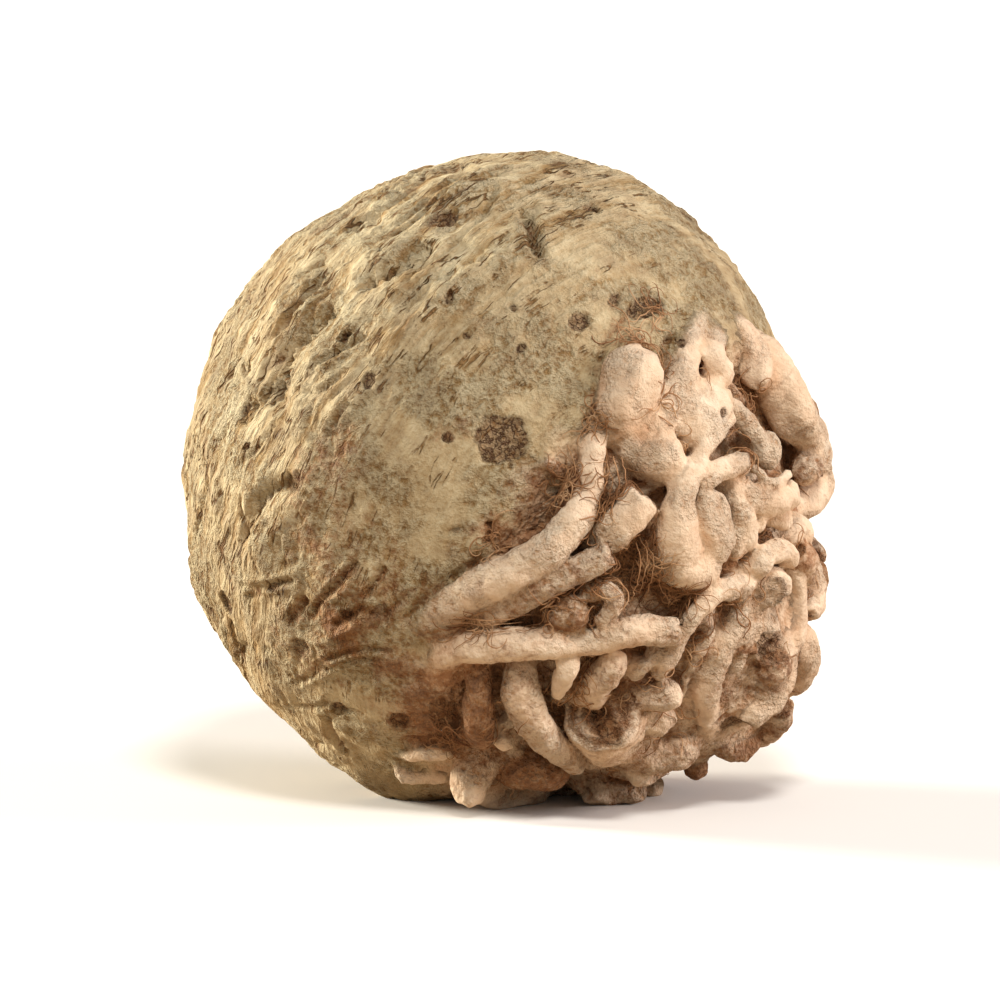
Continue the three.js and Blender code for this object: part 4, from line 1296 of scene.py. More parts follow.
@dataclass(frozen=True)
class SkinFinish:
    """The celeriac's skin: pale dry rind on the globe, creamy flesh-coloured bark on the side roots.

    It reads three attributes: coat holds flesh, soil (with painted shade in hollows) and cork; shade_and_wear
    holds painted shade in gaps, bare (paler open skin, partly a painted highlight), line and streaks; grow
    holds the place along the skin's growth.
    """

    name: str = "celeriac_skin"
    tone_stops: tuple[float, ...] = (0.34, 0.5, 0.66)
    rind: tuple[Colour, ...] = (linear(154, 133, 102), linear(186, 168, 133), linear(212, 198, 164))
    flesh: tuple[Colour, ...] = (linear(194, 156, 122), linear(217, 190, 160), linear(234, 216, 192))
    roughness: float = 0.82
    specular: float = 0.3
    grain_mm: float = 3.2
    # Painted shade in the grain's pits and a painted highlight on its crests, multiplied into the colour.
    rind_pit_shade: Colour = linear(204, 179, 145)
    flesh_pit_shade: Colour = linear(222, 194, 168)
    crest_highlight: Colour = (1.06, 1.06, 1.06, 1.0)

    def make(self) -> bpy.types.Material:
        """Builds the material and the node groups in it."""
        material, g = new_material(self.name)
        place = g.node("ShaderNodeTexCoord").outputs["Object"]
        flesh, soiled_and_shaded, corky, _ = self._split(g, "coat")
        gap_shade, bare, lined, streaky = self._split(g, "shade_and_wear")
        grain = g.group(grain_group(), Vector=place, Coarse=soiled_and_shaded)
        amount = lined + soiled_and_shaded * 0.4 - flesh * 0.5 + streaky * 0.35
        streaks = g.group(crack_group(), Grow=g.attribute("grow")["Vector"], Vector=place, Amount=amount)
        tone = grain["Mottle"] * 0.6 + g.noise(place, 55.0, 3.0, 0.5) * 0.4
        rind, bark = (g.ramp(tone, *zip(self.tone_stops, colours)) for colours in (self.rind, self.flesh))
        base = g.mix(flesh, rind, bark)
        # Open skin is lightened: partly rubbed clean, partly a painted highlight on crests and root tops.
        base = g.mix(bare * 0.7, base, g.mix(flesh, self.rind[2], self.flesh[2]))
        cork = g.group(cork_group(), Vector=place, Color=base, Amount=corky)
        streaked = (streaks["Height"] - 0.5) * streaky
        body = grain["Height"] * (0.8 - flesh * 0.1) + flesh * 0.1 + streaked * 0.8
        # Painted shade and highlight: low grain is darkened and high grain lightened, in step with the bump.
        pit_shade_crest_highlight = g.mix(g.span(body, 0.22, 0.5), g.mix(flesh, self.rind_pit_shade, self.flesh_pit_shade), self.crest_highlight)
        base = g.mix(1.0, cork["Color"], pit_shade_crest_highlight, "MULTIPLY")
        line = g.math("MAXIMUM", streaks["Line"] * streaky, g.span(lined, 0.2, 0.8) * 0.9)
        soil_and_shade = g.group(soil_and_gap_shade_group(), Vector=place, Color=base, Soil=soiled_and_shaded, Gap=gap_shade, Line=line)
        bump = g.node("ShaderNodeBump")
        bump.inputs["Strength"].default_value = 1.0
        bump.inputs["Distance"].default_value = self.grain_mm * MM
        g.join(body + cork["Height"], bump.inputs["Height"])
        shader = g.node("ShaderNodeBsdfPrincipled")
        dull = g.span(grain["Mottle"], 0.3, 0.7, (self.roughness - 0.1, self.roughness + 0.08))
        g.join(soil_and_shade["Color"], shader.inputs["Base Color"])
        g.join(dull, shader.inputs["Roughness"])
        g.join(bump.outputs[0], shader.inputs["Normal"])
        shader.inputs["Specular IOR Level"].default_value = self.specular
        g.finish(shader)
        return material

    @staticmethod
    def _split(g: Graph, name: str) -> list[Signal]:
        """The four channels of a colour attribute."""
        read = g.attribute(name)
        parts = g.node("ShaderNodeSeparateColor")
        g.join(read["Color"], parts.inputs[0])
        return [*g.signals(parts).values(), read["Alpha"]]


@dataclass(frozen=True)
class FibreFinish:
    """Dry root hairs: straw brown, darker in patches."""

    name: str = "root_hair"
    colours: tuple[Colour, ...] = (linear(118, 78, 48), linear(166, 122, 84), linear(214, 178, 138))
    roughness: float = 0.75
    specular: float = 0.3

    def make(self) -> bpy.types.Material:
        """Builds the material."""
        material, g = new_material(self.name)
        shade = g.noise(g.node("ShaderNodeTexCoord").outputs["Object"], 140.0, 3.0, 0.6)
        shader = g.node("ShaderNodeBsdfPrincipled")
        g.join(g.ramp(shade, *zip((0.3, 0.5, 0.7), self.colours)), shader.inputs["Base Color"])
        shader.inputs["Roughness"].default_value = self.roughness
        shader.inputs["Specular IOR Level"].default_value = self.specular
        g.finish(shader)
        return material


# ---- the body


def mesh_object(name: str, points: Array, faces: Array) -> bpy.types.Object:
    """A new object with a mesh of same-sided faces.

    Args:
        name: The object's name.
        points: Corner points in metres, in the frame.
        faces: Corner numbers, one row for each face.

    Returns:
        The object, linked to the scene.
    """
    mesh = bpy.data.meshes.new(name)
    count, sides = faces.shape
    mesh.vertices.add(len(points))
    mesh.vertices.foreach_set("co", points.astype(np.float32).ravel())
    mesh.loops.add(count * sides)
    mesh.loops.foreach_set("vertex_index", faces.astype(np.int32).ravel())
    mesh.polygons.add(count)
    mesh.polygons.foreach_set("loop_start", np.arange(count, dtype=np.int32) * sides)
    mesh.update(calc_edges=True)
    mesh.validate()
    mesh.polygons.foreach_set("use_smooth", np.ones(len(mesh.polygons), bool))
    made = bpy.data.objects.new(name, mesh)
    bpy.context.scene.collection.objects.link(made)
    return made


def baked(source: bpy.types.Object) -> bpy.types.Mesh:
    """The plain mesh that an object's modifiers make; its modifiers are then removed."""
    graph = bpy.context.evaluated_depsgraph_get()
    graph.update()
    final = source.evaluated_get(graph)
    mesh = bpy.data.meshes.new_from_object(final, preserve_all_data_layers=True, depsgraph=graph)
    source.modifiers.clear()
    return mesh


@dataclass
class Body:
    """The globe, its side roots and its crown as one skin.

    Args:
        spacing: Distance between two points of the solid field.
        half: Half the side of the field.
        root_blend, grown_blend, globe_blend: How far each kind of flesh rounds into what it touches.
        smoothing: How often the laid-out skin is smoothed.
        most_triangles, far_triangles: The budget of the whole and of the side that faces away.
        far_depth: Where that side begins, in the face frame.
        close_reach, wide_reach: How far round a point crowding is felt, for gaps and for hollows.
        gap_fill, hollow_fill, bare_fill: How crowded gaps, hollows and open skin are; gaps take painted
            shade,
        hollows soil and painted shade, and open skin a painted highlight.
        rooty_over: How far over the globe a side root's own skin begins.
        crown_deg, flesh_deg: Where the crown begins and the flesh-coloured zone ends, from the root pole.
        flesh_low_deg, low_v: How much further the flesh-coloured zone goes low on the face, and where.
        relief_sizes: The sizes of the skin's broad, middle, small and fine unevenness.
        seed: The seed of all its noise.
    """

    spacing: float = 0.5
    half: float = 69.5
    root_blend: float = 0.8
    grown_blend: float = 1.9
    globe_blend: float = 1.6
    smoothing: int = 3
    most_triangles: int = 196_000
    far_triangles: int = 60_000
    far_depth: float = -12.0
    close_reach: float = 1.6
    wide_reach: float = 4.5
    gap_fill: tuple[float, float] = (0.52, 0.86)
    hollow_fill: tuple[float, float] = (0.52, 0.78)
    bare_fill: tuple[float, float] = (0.42, 0.22)
    rooty_over: tuple[float, float] = (0.3, 1.4)
    crown_deg: tuple[float, float] = (155.0, 163.0)
    flesh_deg: tuple[float, float] = (46.0, 58.0)
    flesh_low_deg: float = 9.0
    low_v: tuple[float, float] = (-22.0, -42.0)
    relief_sizes: Row = (17.0, 7.0, 2.2, 1.0)
    seed: int = 11
    solid: SolidField = field(init=False)
    roots: list[SideRoot] = field(init=False)
    crowds: tuple[Array, Array] = field(init=False)

    def fill(self) -> None:
        """Lays the whole celeriac out as a solid field."""
        system = RootSystem()
        self.roots = system.face_roots() + system.far_roots() + system.small_roots() + system.stalks()
        self.solid = SolidField(self.half, self.spacing)
        self.solid.fill_globe(GLOBE)
        root_field = np.full(self.solid.values.shape, OUTSIDE, np.float32)
        for number, root in enumerate(self.roots):
            blend = self.grown_blend if root.form is Form.GROWN else self.root_blend
            self.solid.add_root(root, number, blend, root_field)
        self.solid.merge(root_field, self.globe_blend)
        self.solid.flatten(-GLOBE.at[2])
        self.crowds = (self.solid.crowding(self.close_reach), self.solid.crowding(self.wide_reach))

    def build(self) -> bpy.types.Object:
        """Builds the body's mesh, displaced, marked and within its triangle budget.

        Returns:
            The body.
        """
        self.fill()
        points, quads = self.solid.surface()
        points = self._smoothed(points, quads, self.smoothing, 0.5)
        LOG.info("skin laid out with %d quads", len(quads))
        normals = self._normals(points, quads)
        height, coat, shade_and_wear, grow = self._dress(points, normals)
        points = points + normals * height[:, None]
        points = self._smoothed(points, quads, 1, 0.25)
        points[:, 2] = np.maximum(points[:, 2], -GLOBE.at[2])
        body = mesh_object("celeriac_body", (points + np.array(GLOBE.at)) * MM, quads)
        for name, values in (("coat", coat), ("shade_and_wear", shade_and_wear)):
            layer = body.data.attributes.new(name, "FLOAT_COLOR", "POINT")
            rgba = np.ones((len(values), 4), np.float32)
            rgba[:, : values.shape[1]] = np.clip(values, 0.0, 1.0)
            layer.data.foreach_set("color", rgba.ravel())
        layer = body.data.attributes.new("grow", "FLOAT_VECTOR", "POINT")
        layer.data.foreach_set("vector", (grow * MM).astype(np.float32).ravel())
        self._thin(body)
        return body

    def _thin(self, body: bpy.types.Object) -> None:
        """Merges the flattest faces, first on the far side, until the body is within its budget."""
        mesh = body.data
        at = np.empty(len(mesh.vertices) * 3, np.float32)
        mesh.vertices.foreach_get("co", at)
        depth = FACE.from_part(at.reshape(-1, 3) / MM - np.array(GLOBE.at))[:, 2]
        far = np.flatnonzero(depth < self.far_depth)
        group = body.vertex_groups.new(name="far")
        group.add(far.tolist(), 1.0, "REPLACE")
        triangles = 2 * len(mesh.polygons)
        far_triangles = triangles * len(far) / len(depth)
        first_budget = triangles - far_triangles + self.far_triangles
        for name, kept in (("far", first_budget), ("", self.most_triangles)):
            triangles = sum(len(f.vertices) - 2 for f in body.data.polygons)
            if triangles > kept:
                thin = body.modifiers.new("thin", "DECIMATE")
                thin.ratio = kept / triangles
                thin.vertex_group = name
                body.data = baked(body)
        body.vertex_groups.clear()
        body.data.polygons.foreach_set("use_smooth", np.ones(len(body.data.polygons), bool))

    @staticmethod
    def _edges(quads: Array) -> Array:
        """Each edge of the quads once in each direction."""
        sides = np.vstack([quads[:, [i, (i + 1) % 4]] for i in range(4)])
        return np.unique(np.sort(sides, axis=1), axis=0)

    def _smoothed(self, points: Array, quads: Array, times: int, amount: float) -> Array:
        """Points pulled part of the way to the middle of their neighbours."""
        edges = self._edges(quads)
        a = np.concatenate([edges[:, 0], edges[:, 1]])
        b = np.concatenate([edges[:, 1], edges[:, 0]])
        count = np.bincount(a, minlength=len(points))
        for _ in range(times):
            total = np.stack([np.bincount(a, points[b, i], len(points)) for i in range(3)], 1)
            points = points + (total / count[:, None] - points) * amount
        return points

    @staticmethod
    def _normals(points: Array, quads: Array) -> Array:
        """The outward normal at each point."""
        face = np.cross(points[quads[:, 2]] - points[quads[:, 0]], points[quads[:, 3]] - points[quads[:, 1]])
        total = np.zeros_like(points)
        for i in range(4):
            total += np.stack([np.bincount(quads[:, i], face[:, j], len(points)) for j in range(3)], 1)
        return unit(total)

    def _dress(self, p: Array, n: Array) -> tuple[Array, Array, Array, Array]:
        """How the skin is displaced and marked.

        Args:
            p: Points of the skin, from the globe's centre.
            n: The outward normals there.

        Returns:
            The height, the coat colours (flesh, soil with painted shade in hollows, cork), the shade and wear
            colours (painted shade in gaps, bare skin with a painted highlight, line and, as alpha, streaks)
            and the place in the direction of growth.
        """
        reach = np.linalg.norm(p, axis=1)
        d = (p / reach[:, None]).astype(np.float32)
        polar = GLOBE.polar_deg(d)
        proud = reach - (GLOBE.envelope(d) - GLOBE.sink(d))
        rooty = smoothstep(proud, *self.rooty_over)
        crown = smoothstep(polar, *self.crown_deg)
        seeds = [GradientNoise(self.seed + i) for i in range(6)]
        broad, mid, small, fine = (noise(p / size) for noise, size in zip(seeds, self.relief_sizes))
        low = smoothstep(FACE.from_part(p)[:, 1], *self.low_v)
        edge = polar + 6.0 * seeds[4](p / 6.0) - self.flesh_low_deg * low
        zone = 1.0 - smoothstep(edge, *self.flesh_deg)
        inner = self.solid.sample(self.crowds[0], p + n * 0.4)
        wide = self.solid.sample(self.crowds[1], p + n * 0.6)
        # Narrow gaps, where close crowding is high: their relief is flattened, and the material paints shade
        # into them.
        gap_shade = smoothstep(inner, *self.gap_fill)
        hollow_soil_and_shade = smoothstep(wide, *self.hollow_fill)
        # Open, convex skin, which the material lightens: partly rubbed clean, partly a painted highlight.
        bare = smoothstep(inner, *self.bare_fill)

        marks = SkinMarks().draw(p)
        folds, grit, lines = self._globe_relief(p, d, polar, seeds)
        globe = 1.1 * broad + 0.5 * mid + folds + grit + marks.height
        globe = globe * (1.0 - 0.6 * zone) + zone * (0.45 * small + 0.3 * fine)
        ropes, rings, torn, grow = self._root_relief(p, seeds)
        height = globe * (1.0 - rooty) + (ropes + 0.8 * marks.height) * rooty
        height *= 1.0 - 0.75 * gap_shade

        flesh = np.maximum(zone, rooty * (1.0 - crown))
        soil = 0.1 + 0.12 * broad + 0.16 * mid + 0.12 * flesh
        soil = soil * (1.0 - 0.3 * smoothstep(polar, 60.0, 90.0)) + self._soil_patches(p, seeds[3])
        # Wide hollows in the flesh-coloured zone add soil brown: part real soil, part painted shade in the
        # recesses.
        soil += marks.soil * 0.7 + 0.55 * hollow_soil_and_shade * flesh + 0.2 * rings * rooty + 0.3 * zone * (1.0 - rooty)
        owner = self.solid.nearest(self.solid.owner, p)
        kept = np.array([root.soil for root in self.roots] + [0.3])[owner]
        soil += rooty * ((kept - 0.32) * 1.3 + 0.7 * torn) + 0.25 * crown
        cork = np.maximum(marks.cork, torn * rooty)
        # The painted gap shade is made stronger in the flesh-coloured zone.
        gap_shade = np.maximum(gap_shade * (0.45 + 0.55 * flesh), 0.0)
        coat = np.stack([flesh, soil, cork], 1)
        # The line channel darkens creases, wrinkles and root rings: soil in them, and painted shade.
        line = np.maximum(marks.soil, lines * (1.0 - rooty)) + 0.6 * rings * rooty
        streaky = 0.35 + 0.65 * smoothstep(polar, 66.0, 98.0) * (1.0 - flesh)
        streaky = streaky * (1.0 - 0.9 * rooty)
        for edge in (zone, rooty):
            streaky = streaky * smoothstep(np.abs(edge - 0.5), 0.05, 0.35)
        shade_and_wear = np.stack([gap_shade, bare, line, streaky], 1)
        return height.astype(np.float64), coat, shade_and_wear, self._growth(d, polar, zone, rooty, grow)

    @staticmethod
    def _growth(d: Array, polar: Array, zone: Array, rooty: Array, grow: Array) -> Array:
        """Where each point lies along and across the way its skin grew, in millimetres.

        Args:
            d: Directions from the globe's centre.
            polar: Their angles from the root pole.
            zone: How far each is in the root zone.
            rooty: How far each is on a side root.
            grow: The places on the side roots.

        Returns:
            A place for each point; patterns on it stretch along the skin's own lines.
        """
        size, thin = GLOBE.radius, 0.15
        round_a, round_b, down = d @ GLOBE.near * size, d @ GLOBE.across * size, np.radians(polar) * size
        rind = np.stack([round_a * thin, round_b * thin, down], 1)
        bark = np.stack([round_a, round_b, down * thin], 1)
        bare = np.where((zone > 0.5)[:, None], bark, rind)
        return np.where((rooty > 0.5)[:, None], grow, bare)

    @staticmethod
    def _soil_patches(p: Array, noise: GradientNoise) -> Array:
        """Where soil was rubbed into the globe's skin, from 0 to 1 or so."""
        total = np.zeros(len(p), np.float32)
        ragged = noise(p / 5.0)
        for u, v, size, strength in SOIL_PATCHES:
            away = np.linalg.norm(p - GLOBE.on_face(u, v, 0.0), axis=1) / size
            total += strength * smoothstep(away + 0.35 * ragged, 1.3, 0.3)
        return total

    def _globe_relief(
        self, p: Array, d: Array, polar: Array, seeds: list[GradientNoise]
    ) -> tuple[Array, Array, Array]:
        """The globe's relief.

        Args:
            p: Points of the skin.
            d: Their directions from the globe's centre.
            polar: Their angles from the root pole.
            seeds: The body's noises.

        Returns:
            The wrinkles, which run round the crown, the grit, and where soil lines a wrinkle.
        """
        round_a, round_b = d @ GLOBE.near, d @ GLOBE.across
        warp = seeds[5](p / 14.0)
        wind = np.stack([round_a * 1.9, round_b * 1.9, np.radians(polar) * 11.0 + 1.1 * warp], 1)
        lines = seeds[0].creased(wind, 3.4)
        thin = seeds[1].creased(wind * np.array([1.3, 1.3, 2.4]) + 5.0, 4.0)
        swell = seeds[3](wind * 0.5 + 3.0)
        where = smoothstep(polar, 72.0, 104.0) * smoothstep(seeds[2](p / 18.0), -0.35, 0.35)
        folds = where * (0.35 + 1.5 * swell - 1.1 * lines) - 0.45 * (0.2 + 0.8 * where) * thin
        patch = smoothstep(seeds[4](p / 11.0), -0.25, 0.4)
        grit = (0.16 + 0.36 * patch) * seeds[2](p / 1.9) + 0.3 * swell
        return folds, grit, where * np.maximum(lines, 0.6 * thin) + 0.15 * thin

    def _root_relief(self, p: Array, seeds: list[GradientNoise]) -> tuple[Array, Array, Array, Array]:
        """The side roots' relief.

        Args:
            p: Points of the skin.
            seeds: The body's noises.

        Returns:
            The height, the rings that hold soil, the cut ends, and the places along the roots.
        """
        slant, lean = unit(np.array([0.7, 0.6, 0.4])), unit(np.array([0.3, 0.5, 0.8]))
        owner = self.solid.nearest(self.solid.owner, p)
        height = np.zeros(len(p), np.float32)
        rings, torn = np.zeros(len(p), np.float32), np.zeros(len(p), np.float32)
        grow = np.zeros((len(p), 3), np.float32)
        for number, root in enumerate(self.roots):
            on = np.flatnonzero(owner == number)
            if not len(on):
                continue
            along, out, left, off = root.coordinates(p[on])
            size = float(root.girth.mean())
            skew = np.array([number * 3.7, number * 1.9, 0.0])
            lumps = seeds[0](out * 0.9 + along[:, None] / (2.0 * size) * lean + skew)
            knots = seeds[3](p[on] / 3.1)
            ring = seeds[1].creased(out * 0.5 + along[:, None] / 2.6 * slant + skew, 2.4)
            fibre = seeds[2](out * size * 1.5 + along[:, None] * 0.12 + skew)
            grit = seeds[4](p[on] / 1.3)
            height[on] = 0.2 * size * lumps + 0.36 * knots - 0.22 * ring + 0.16 * fibre + 0.12 * grit
            rings[on] = ring
            grow[on] = out * size * 0.7 + along[:, None] * 0.6 * slant + skew
            if root.form is Form.CUT:
                cut = smoothstep(left, 0.5, -0.3)
                target = off[:, None] * np.array([0.0, 0.0, 1.0]) + 0.25 * p[on] / size + skew
                grow[on] = np.where((cut > 0.4)[:, None], target, grow[on])
                heart = 0.5 + 0.5 * np.cos(off * 2.4 + 1.2 * knots)
                torn[on] = cut * min(1.0, 0.4 + root.soil) * (0.35 + 0.65 * heart)
                height[on] -= 0.5 * cut * (1.0 - heart)
        return height, rings, torn, grow


# ---- root hairs


@dataclass(frozen=True)
class Tangle:
    """A place where root hairs crowd: u and v of its middle, its size and how many hairs start there."""

    u: float
    v: float
    size: float
    hairs: int


TANGLES = tuple(Tangle(*row) for row in (
    (28, -18, 6.0, 210), (23, -3, 3.6, 90), (20.5, -8, 3.0, 60), (13.5, -3, 3.5, 55),
    (35.5, -23.5, 3.5, 80), (21, -20, 4.5, 90), (13.5, -26.5, 4.5, 70),
    (51, 12, 3.0, 40),
    (46, 5, 3.0, 30), (30, 32, 2.0, 14), (31, 12, 3.0, 30), (19, 11, 2.0, 20),
    (-1, -12, 2.5, 12), (-9, -50, 4.0, 30), (-3, -28.5, 3.0, 25), (45, -24, 4.0, 25),
    (36, -34, 4.0, 30), (1, -46, 3.0, 25), (15, -40, 4.0, 35), (27, 26, 4.0, 25),
))

# Longer threads that hang clear of the furrows: u, v and lift of their points.
THREADS: tuple[tuple[tuple[float, float, float], ...], ...] = (
    ((-8.5, -28.3, 3.0), (-2, -28.7, 3.8), (5.5, -28.2, 3.2)),
    ((-8, -27.2, 2.6), (-1, -27.8, 3.6), (7, -26.8, 2.8)),
    ((27.5, -12, 2.0), (29, -15, 3.0), (28.5, -19, 3.0), (27.5, -23, 1.0)),
    ((28.5, -12.5, 2.0), (30.3, -16, 3.1), (29.8, -20, 3.0), (28.6, -24, 1.0)),
    ((26.8, -13, 2.0), (27.6, -17, 3.0), (27, -21, 2.8), (25.8, -24.5, 1.0)),
    ((29.6, -12.5, 2.0), (31.6, -16.5, 3.0), (31.4, -21, 2.6), (33, -24, 1.0)),
    ((22.5, 3.5, 1.0), (23.6, -1, 2.6), (22.6, -5.5, 2.6), (20.5, -9, 1.0)),
    ((24, 3, 1.0), (25, -1, 2.4), (24.4, -5, 2.2), (22.5, -8, 1.0)),
    ((21.5, 2, 1.0), (22.3, -2, 2.4), (21, -6.5, 2.4), (19, -11, 1.0)),
)


@dataclass
class RootHairs:
    """The fine rootlets that mat the furrows between the side roots, as one piece.

    Args:
        solid: The celeriac's solid field.
        crowd: How full of flesh the space is; hairs start where it is high.
        spread: How many hairs start outside the tangles.
        spread_deg: Where those start, from the root pole.
        points: How many points a hair has.
        step, lift, thickness: The ranges of its step, of its height over the skin and of its radius.
        start_level: How high over the skin starts are sought.
        ends_sunk: How deep its ends lie in the skin.
        first_sway, kept_sway, more_sway: How much it bends at first, keeps of that at each step, and gains.
        thread_wander: How far the points of the long threads wander.
        sides: How many sides its tube has.
        seed: The seed of all their draws.
    """

    solid: SolidField
    crowd: Array
    spread: int = 320
    spread_deg: tuple[float, float] = (6.0, 54.0)
    points: int = 15
    step: tuple[float, float] = (0.35, 0.8)
    lift: tuple[float, float] = (0.1, 1.1)
    thickness: tuple[float, float] = (0.09, 0.17)
    start_level: float = 0.3
    ends_sunk: float = 0.1
    first_sway: float = 0.3
    kept_sway: float = 0.8
    more_sway: float = 0.25
    thread_wander: float = 0.12
    sides: int = 3
    seed: int = 31

    def _settle(self, p: Array, level: Array | float, times: int) -> Array:
        """Points moved on to the surface that lies level over the skin."""
        for _ in range(times):
            off = self.solid.sample(self.solid.values, p) - level
            p = p - self.solid.outward(p) * (0.9 * off)[:, None]
        return p

    def _starts(self, rng: np.random.Generator) -> Array:
        """Points in the furrows where hairs begin."""
        found = []
        for tangle in TANGLES:
            tries = 2 * tangle.hairs
            away = unit(rng.normal(size=(tries, 3))) * tangle.size * rng.uniform(0, 1, (tries, 1))
            found.append(self._fullest(GLOBE.on_face(tangle.u, tangle.v, 0.0) + away))
        tries = 3 * self.spread
        polar, around = rng.uniform(*self.spread_deg, tries), rng.uniform(0.0, 360.0, tries)
        anywhere = np.array([GLOBE.from_pole(a, b) * GLOBE.radius for a, b in zip(polar, around)])
        found.append(self._fullest(anywhere)[: self.spread])
        return np.vstack(found)

    def _fullest(self, p: Array) -> Array:
        """The half of the points that lie deepest in furrows once they are settled on the skin."""
        p = self._settle(p, self.start_level, 8)
        full = self.solid.sample(self.crowd, p)
        return p[np.argsort(-full)[: len(p) // 2]]

    def lines(self) -> Array:
        """Every hair's points, as an array of hairs by points by three."""
        rng = np.random.default_rng(self.seed)
        at = self._starts(rng)
        count = len(at)
        way = unit(rng.normal(size=(count, 3)))
        lift, step = rng.uniform(*self.lift, count), rng.uniform(*self.step, (count, 1))
        sway = rng.normal(0.0, self.first_sway, count)
        rows = []
        for j in range(self.points):
            rows.append(at)
            out = self.solid.outward(at)
            sway = self.kept_sway * sway + rng.normal(0.0, self.more_sway, count)
            way = way + np.cross(out, way) * sway[:, None]
            way = unit(way - out * np.einsum("ij,ij->i", way, out)[:, None])
            rise = math.sin(math.pi * (j + 1) / self.points)
            at = self._settle(at + way * step, lift * rise - self.ends_sunk, 2)
        made = np.stack(rows, 1)
        threads = []
        for thread in THREADS:
            points = np.array([GLOBE.on_face(*place) for place in thread])
            line, _ = smooth_line(points, np.zeros(len(points)), 0.5)
            picked = np.linspace(0, len(line) - 1, self.points).round().astype(int)
            threads.append(line[picked] + rng.normal(0.0, self.thread_wander, (self.points, 3)))
        return np.concatenate([made, np.array(threads)])

    def build(self, material: bpy.types.Material) -> bpy.types.Object:
        """Builds the hairs.

        Args:
            material: Their finish.

        Returns:
            The piece.
        """
        lines = self.lines()
        hairs, points = lines.shape[:2]
        rng = np.random.default_rng(self.seed + 1)
        taper = np.sin(np.linspace(0.25, 0.85, points) * math.pi)
        thick = rng.uniform(*self.thickness, (hairs, 1)) * taper
        number = np.arange(hairs * points).reshape(hairs, points)
        edges = np.stack([number[:, :-1].ravel(), number[:, 1:].ravel()], 1)
        mesh = bpy.data.meshes.new("root_hairs")
        mesh.vertices.add(hairs * points)
        mesh.vertices.foreach_set("co", ((lines + np.array(GLOBE.at)) * MM).astype(np.float32).ravel())
        mesh.edges.add(len(edges))
        mesh.edges.foreach_set("vertices", edges.astype(np.int32).ravel())
        layer = mesh.attributes.new("thick", "FLOAT", "POINT")
        layer.data.foreach_set("value", (thick * MM).astype(np.float32).ravel())
        made = bpy.data.objects.new("root_hairs", mesh)
        bpy.context.scene.collection.objects.link(made)
        tree = self._tree()
        drawn = made.modifiers.new("hairs", "NODES")
        drawn.node_group = tree
        wanted = {"Sides": self.sides, "Finish": material}
        for socket in tree.interface.items_tree:
            if socket.name in wanted:
                drawn[socket.identifier] = wanted[socket.name]
        made.data = baked(made)
        return made

    @staticmethod
    def _tree() -> bpy.types.NodeTree:
        """The node tree that draws hairs from polylines: tapered, closed tubes in one finish."""
        tree = bpy.data.node_groups.new("hair_tubes", "GeometryNodeTree")
        sides = {"Lines": "Geometry", "Sides": "Int", "Finish": "Material", "Hairs": "Geometry"}
        for name, kind in sides.items():
            way = "OUTPUT" if name == "Hairs" else "INPUT"
            tree.interface.new_socket(name, in_out=way, socket_type=f"NodeSocket{kind}")
        g = Graph(tree)
        given = g.node("NodeGroupInput").outputs
        thick = g.node("GeometryNodeInputNamedAttribute")
        thick.inputs["Name"].default_value = "thick"
        ring = g.node("GeometryNodeCurvePrimitiveCircle")
        ring.inputs["Radius"].default_value = 1.0
        kinds = ("MeshToCurve", "CurveToMesh", "SetShadeSmooth", "SetMaterial", "RealizeInstances")
        steps = [g.node(f"GeometryNode{kind}") for kind in kinds]
        _, tube, _, paint, _ = steps
        tube.inputs["Fill Caps"].default_value = True
        g.join(given["Sides"], ring.inputs["Resolution"])
        g.join(thick.outputs["Attribute"], tube.inputs["Scale"])
        g.join(ring.outputs[0], tube.inputs["Profile Curve"])
        g.join(given["Finish"], paint.inputs["Material"])
        g.join(given["Lines"], steps[0].inputs[0])
        for before, after in itertools.pairwise([*steps, g.node("NodeGroupOutput")]):
            g.join(before.outputs[0], after.inputs[0])
        return tree


# ---- the studio


@dataclass(frozen=True)
class Lamp:
    """A broad distant light: where it stands in the face frame, and how wide it looks."""

    name: str
    toward: tuple[float, float, float]
    strength: float
    spread_deg: float
    colour: tuple[float, float, float]

    def hang(self) -> None:
        """Adds the lamp to the scene."""
        light = bpy.data.lights.new(self.name, "SUN")
        light.energy, light.angle, light.color = self.strength, math.radians(self.spread_deg), self.colour
        made = bpy.data.objects.new(self.name, light)
        made.rotation_euler = Vector(FACE.to_part(np.array(self.toward))).to_track_quat("Z", "Y").to_euler()
        bpy.context.scene.collection.objects.link(made)


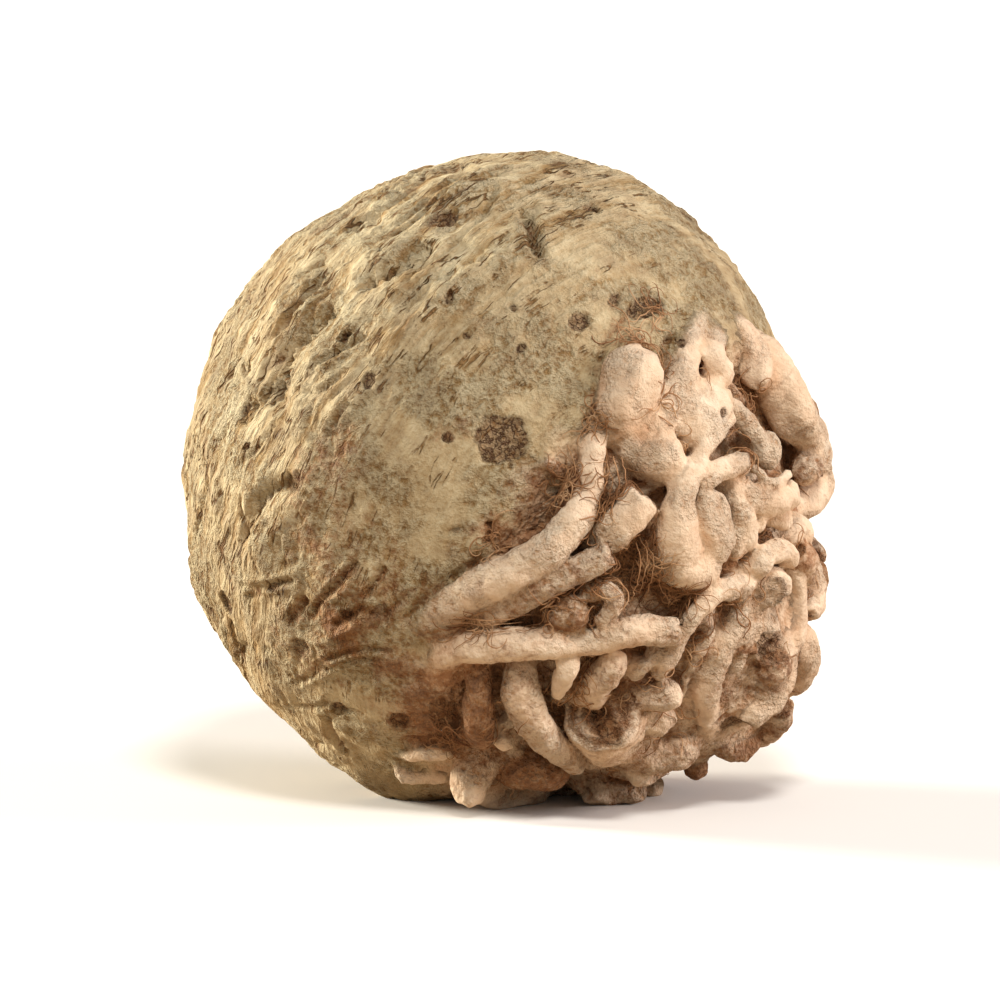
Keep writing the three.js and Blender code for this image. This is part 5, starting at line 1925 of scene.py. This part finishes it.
@dataclass
class Studio:
    """A pale floor, soft light and the camera."""

    floor_size: float = 12.0
    floor_colour: Colour = linear(246, 246, 245)
    floor_bounce: Colour = linear(186, 168, 146)
    lamps: tuple[Lamp, ...] = (
        Lamp("key", (-0.88, 0.27, -0.36), 6.6, 14.0, (1.0, 0.93, 0.78)),
        Lamp("side", (0.9, 0.3, 0.08), 2.6, 24.0, (1.0, 0.88, 0.83)),
        Lamp("front", (0.1, 0.68, 0.72), 2.0, 14.0, (1.0, 0.95, 0.88)),
    )
    sky_colour: Colour = (1.0, 0.97, 0.93, 1.0)
    sky_strength: float = 0.33
    camera_distance: float = 2.5
    frame_width: float = 0.195
    sensor: float = 36.0
    elevation_deg: float = 8.0
    aim_right: float = 0.00098
    aim_up: float = -0.0049

    def floor(self) -> None:
        """The floor, which looks paler to the camera than the light it throws back."""
        s = self.floor_size / 2.0
        corners = np.array([(-s, -s, 0), (s, -s, 0), (s, s, 0), (-s, s, 0)])
        made = mesh_object("floor", corners, np.array([[0, 1, 2, 3]]))
        material, g = new_material("floor_paint")
        seen = g.node("ShaderNodeLightPath").outputs["Is Camera Ray"]
        paint = g.node("ShaderNodeBsdfDiffuse")
        g.join(g.mix(seen, self.floor_bounce, self.floor_colour), paint.inputs["Color"])
        g.finish(paint)
        made.data.materials.append(material)

    def light(self) -> None:
        """The lamps and the soft light from all round."""
        for lamp in self.lamps:
            lamp.hang()
        world = bpy.data.worlds.new("studio")
        world.use_nodes = True
        sky = world.node_tree.nodes["Background"]
        sky.inputs["Color"].default_value = self.sky_colour
        sky.inputs["Strength"].default_value = self.sky_strength
        bpy.context.scene.world = world
        bpy.context.scene.view_settings.view_transform = "Standard"

    def camera(self) -> None:
        """The camera, level with the root face and looking a little down."""
        lens = bpy.data.cameras.new("camera")
        lens.sensor_width = self.sensor
        lens.lens = self.sensor * self.camera_distance / self.frame_width
        lens.clip_end = 50.0
        e = math.radians(self.elevation_deg)
        up = Vector((0.0, math.sin(e), math.cos(e)))
        aim = Vector(GLOBE.at) * MM + Vector((self.aim_right, 0.0, 0.0)) + up * self.aim_up
        made = bpy.data.objects.new("camera", lens)
        made.location = aim + Vector((0.0, -math.cos(e), math.sin(e))) * self.camera_distance
        made.rotation_euler = (math.radians(90.0 - self.elevation_deg), 0.0, 0.0)
        bpy.context.scene.collection.objects.link(made)
        bpy.context.scene.camera = made


def main() -> None:
    """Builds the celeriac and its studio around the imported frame."""
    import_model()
    studio = Studio()
    studio.camera()
    studio.light()
    studio.floor()
    celeriac = Body(spacing=0.5)
    body = celeriac.build()
    body.data.materials.append(SkinFinish().make())
    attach(body, BODY)
    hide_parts(NODE)
    LOG.info("%s: %d faces", body.name, len(body.data.polygons))
    hairs = RootHairs(celeriac.solid, celeriac.crowds[1]).build(FibreFinish().make())
    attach(hairs, BODY)
    LOG.info("%s: %d faces", hairs.name, len(hairs.data.polygons))


if __name__ == "__main__":
    main()
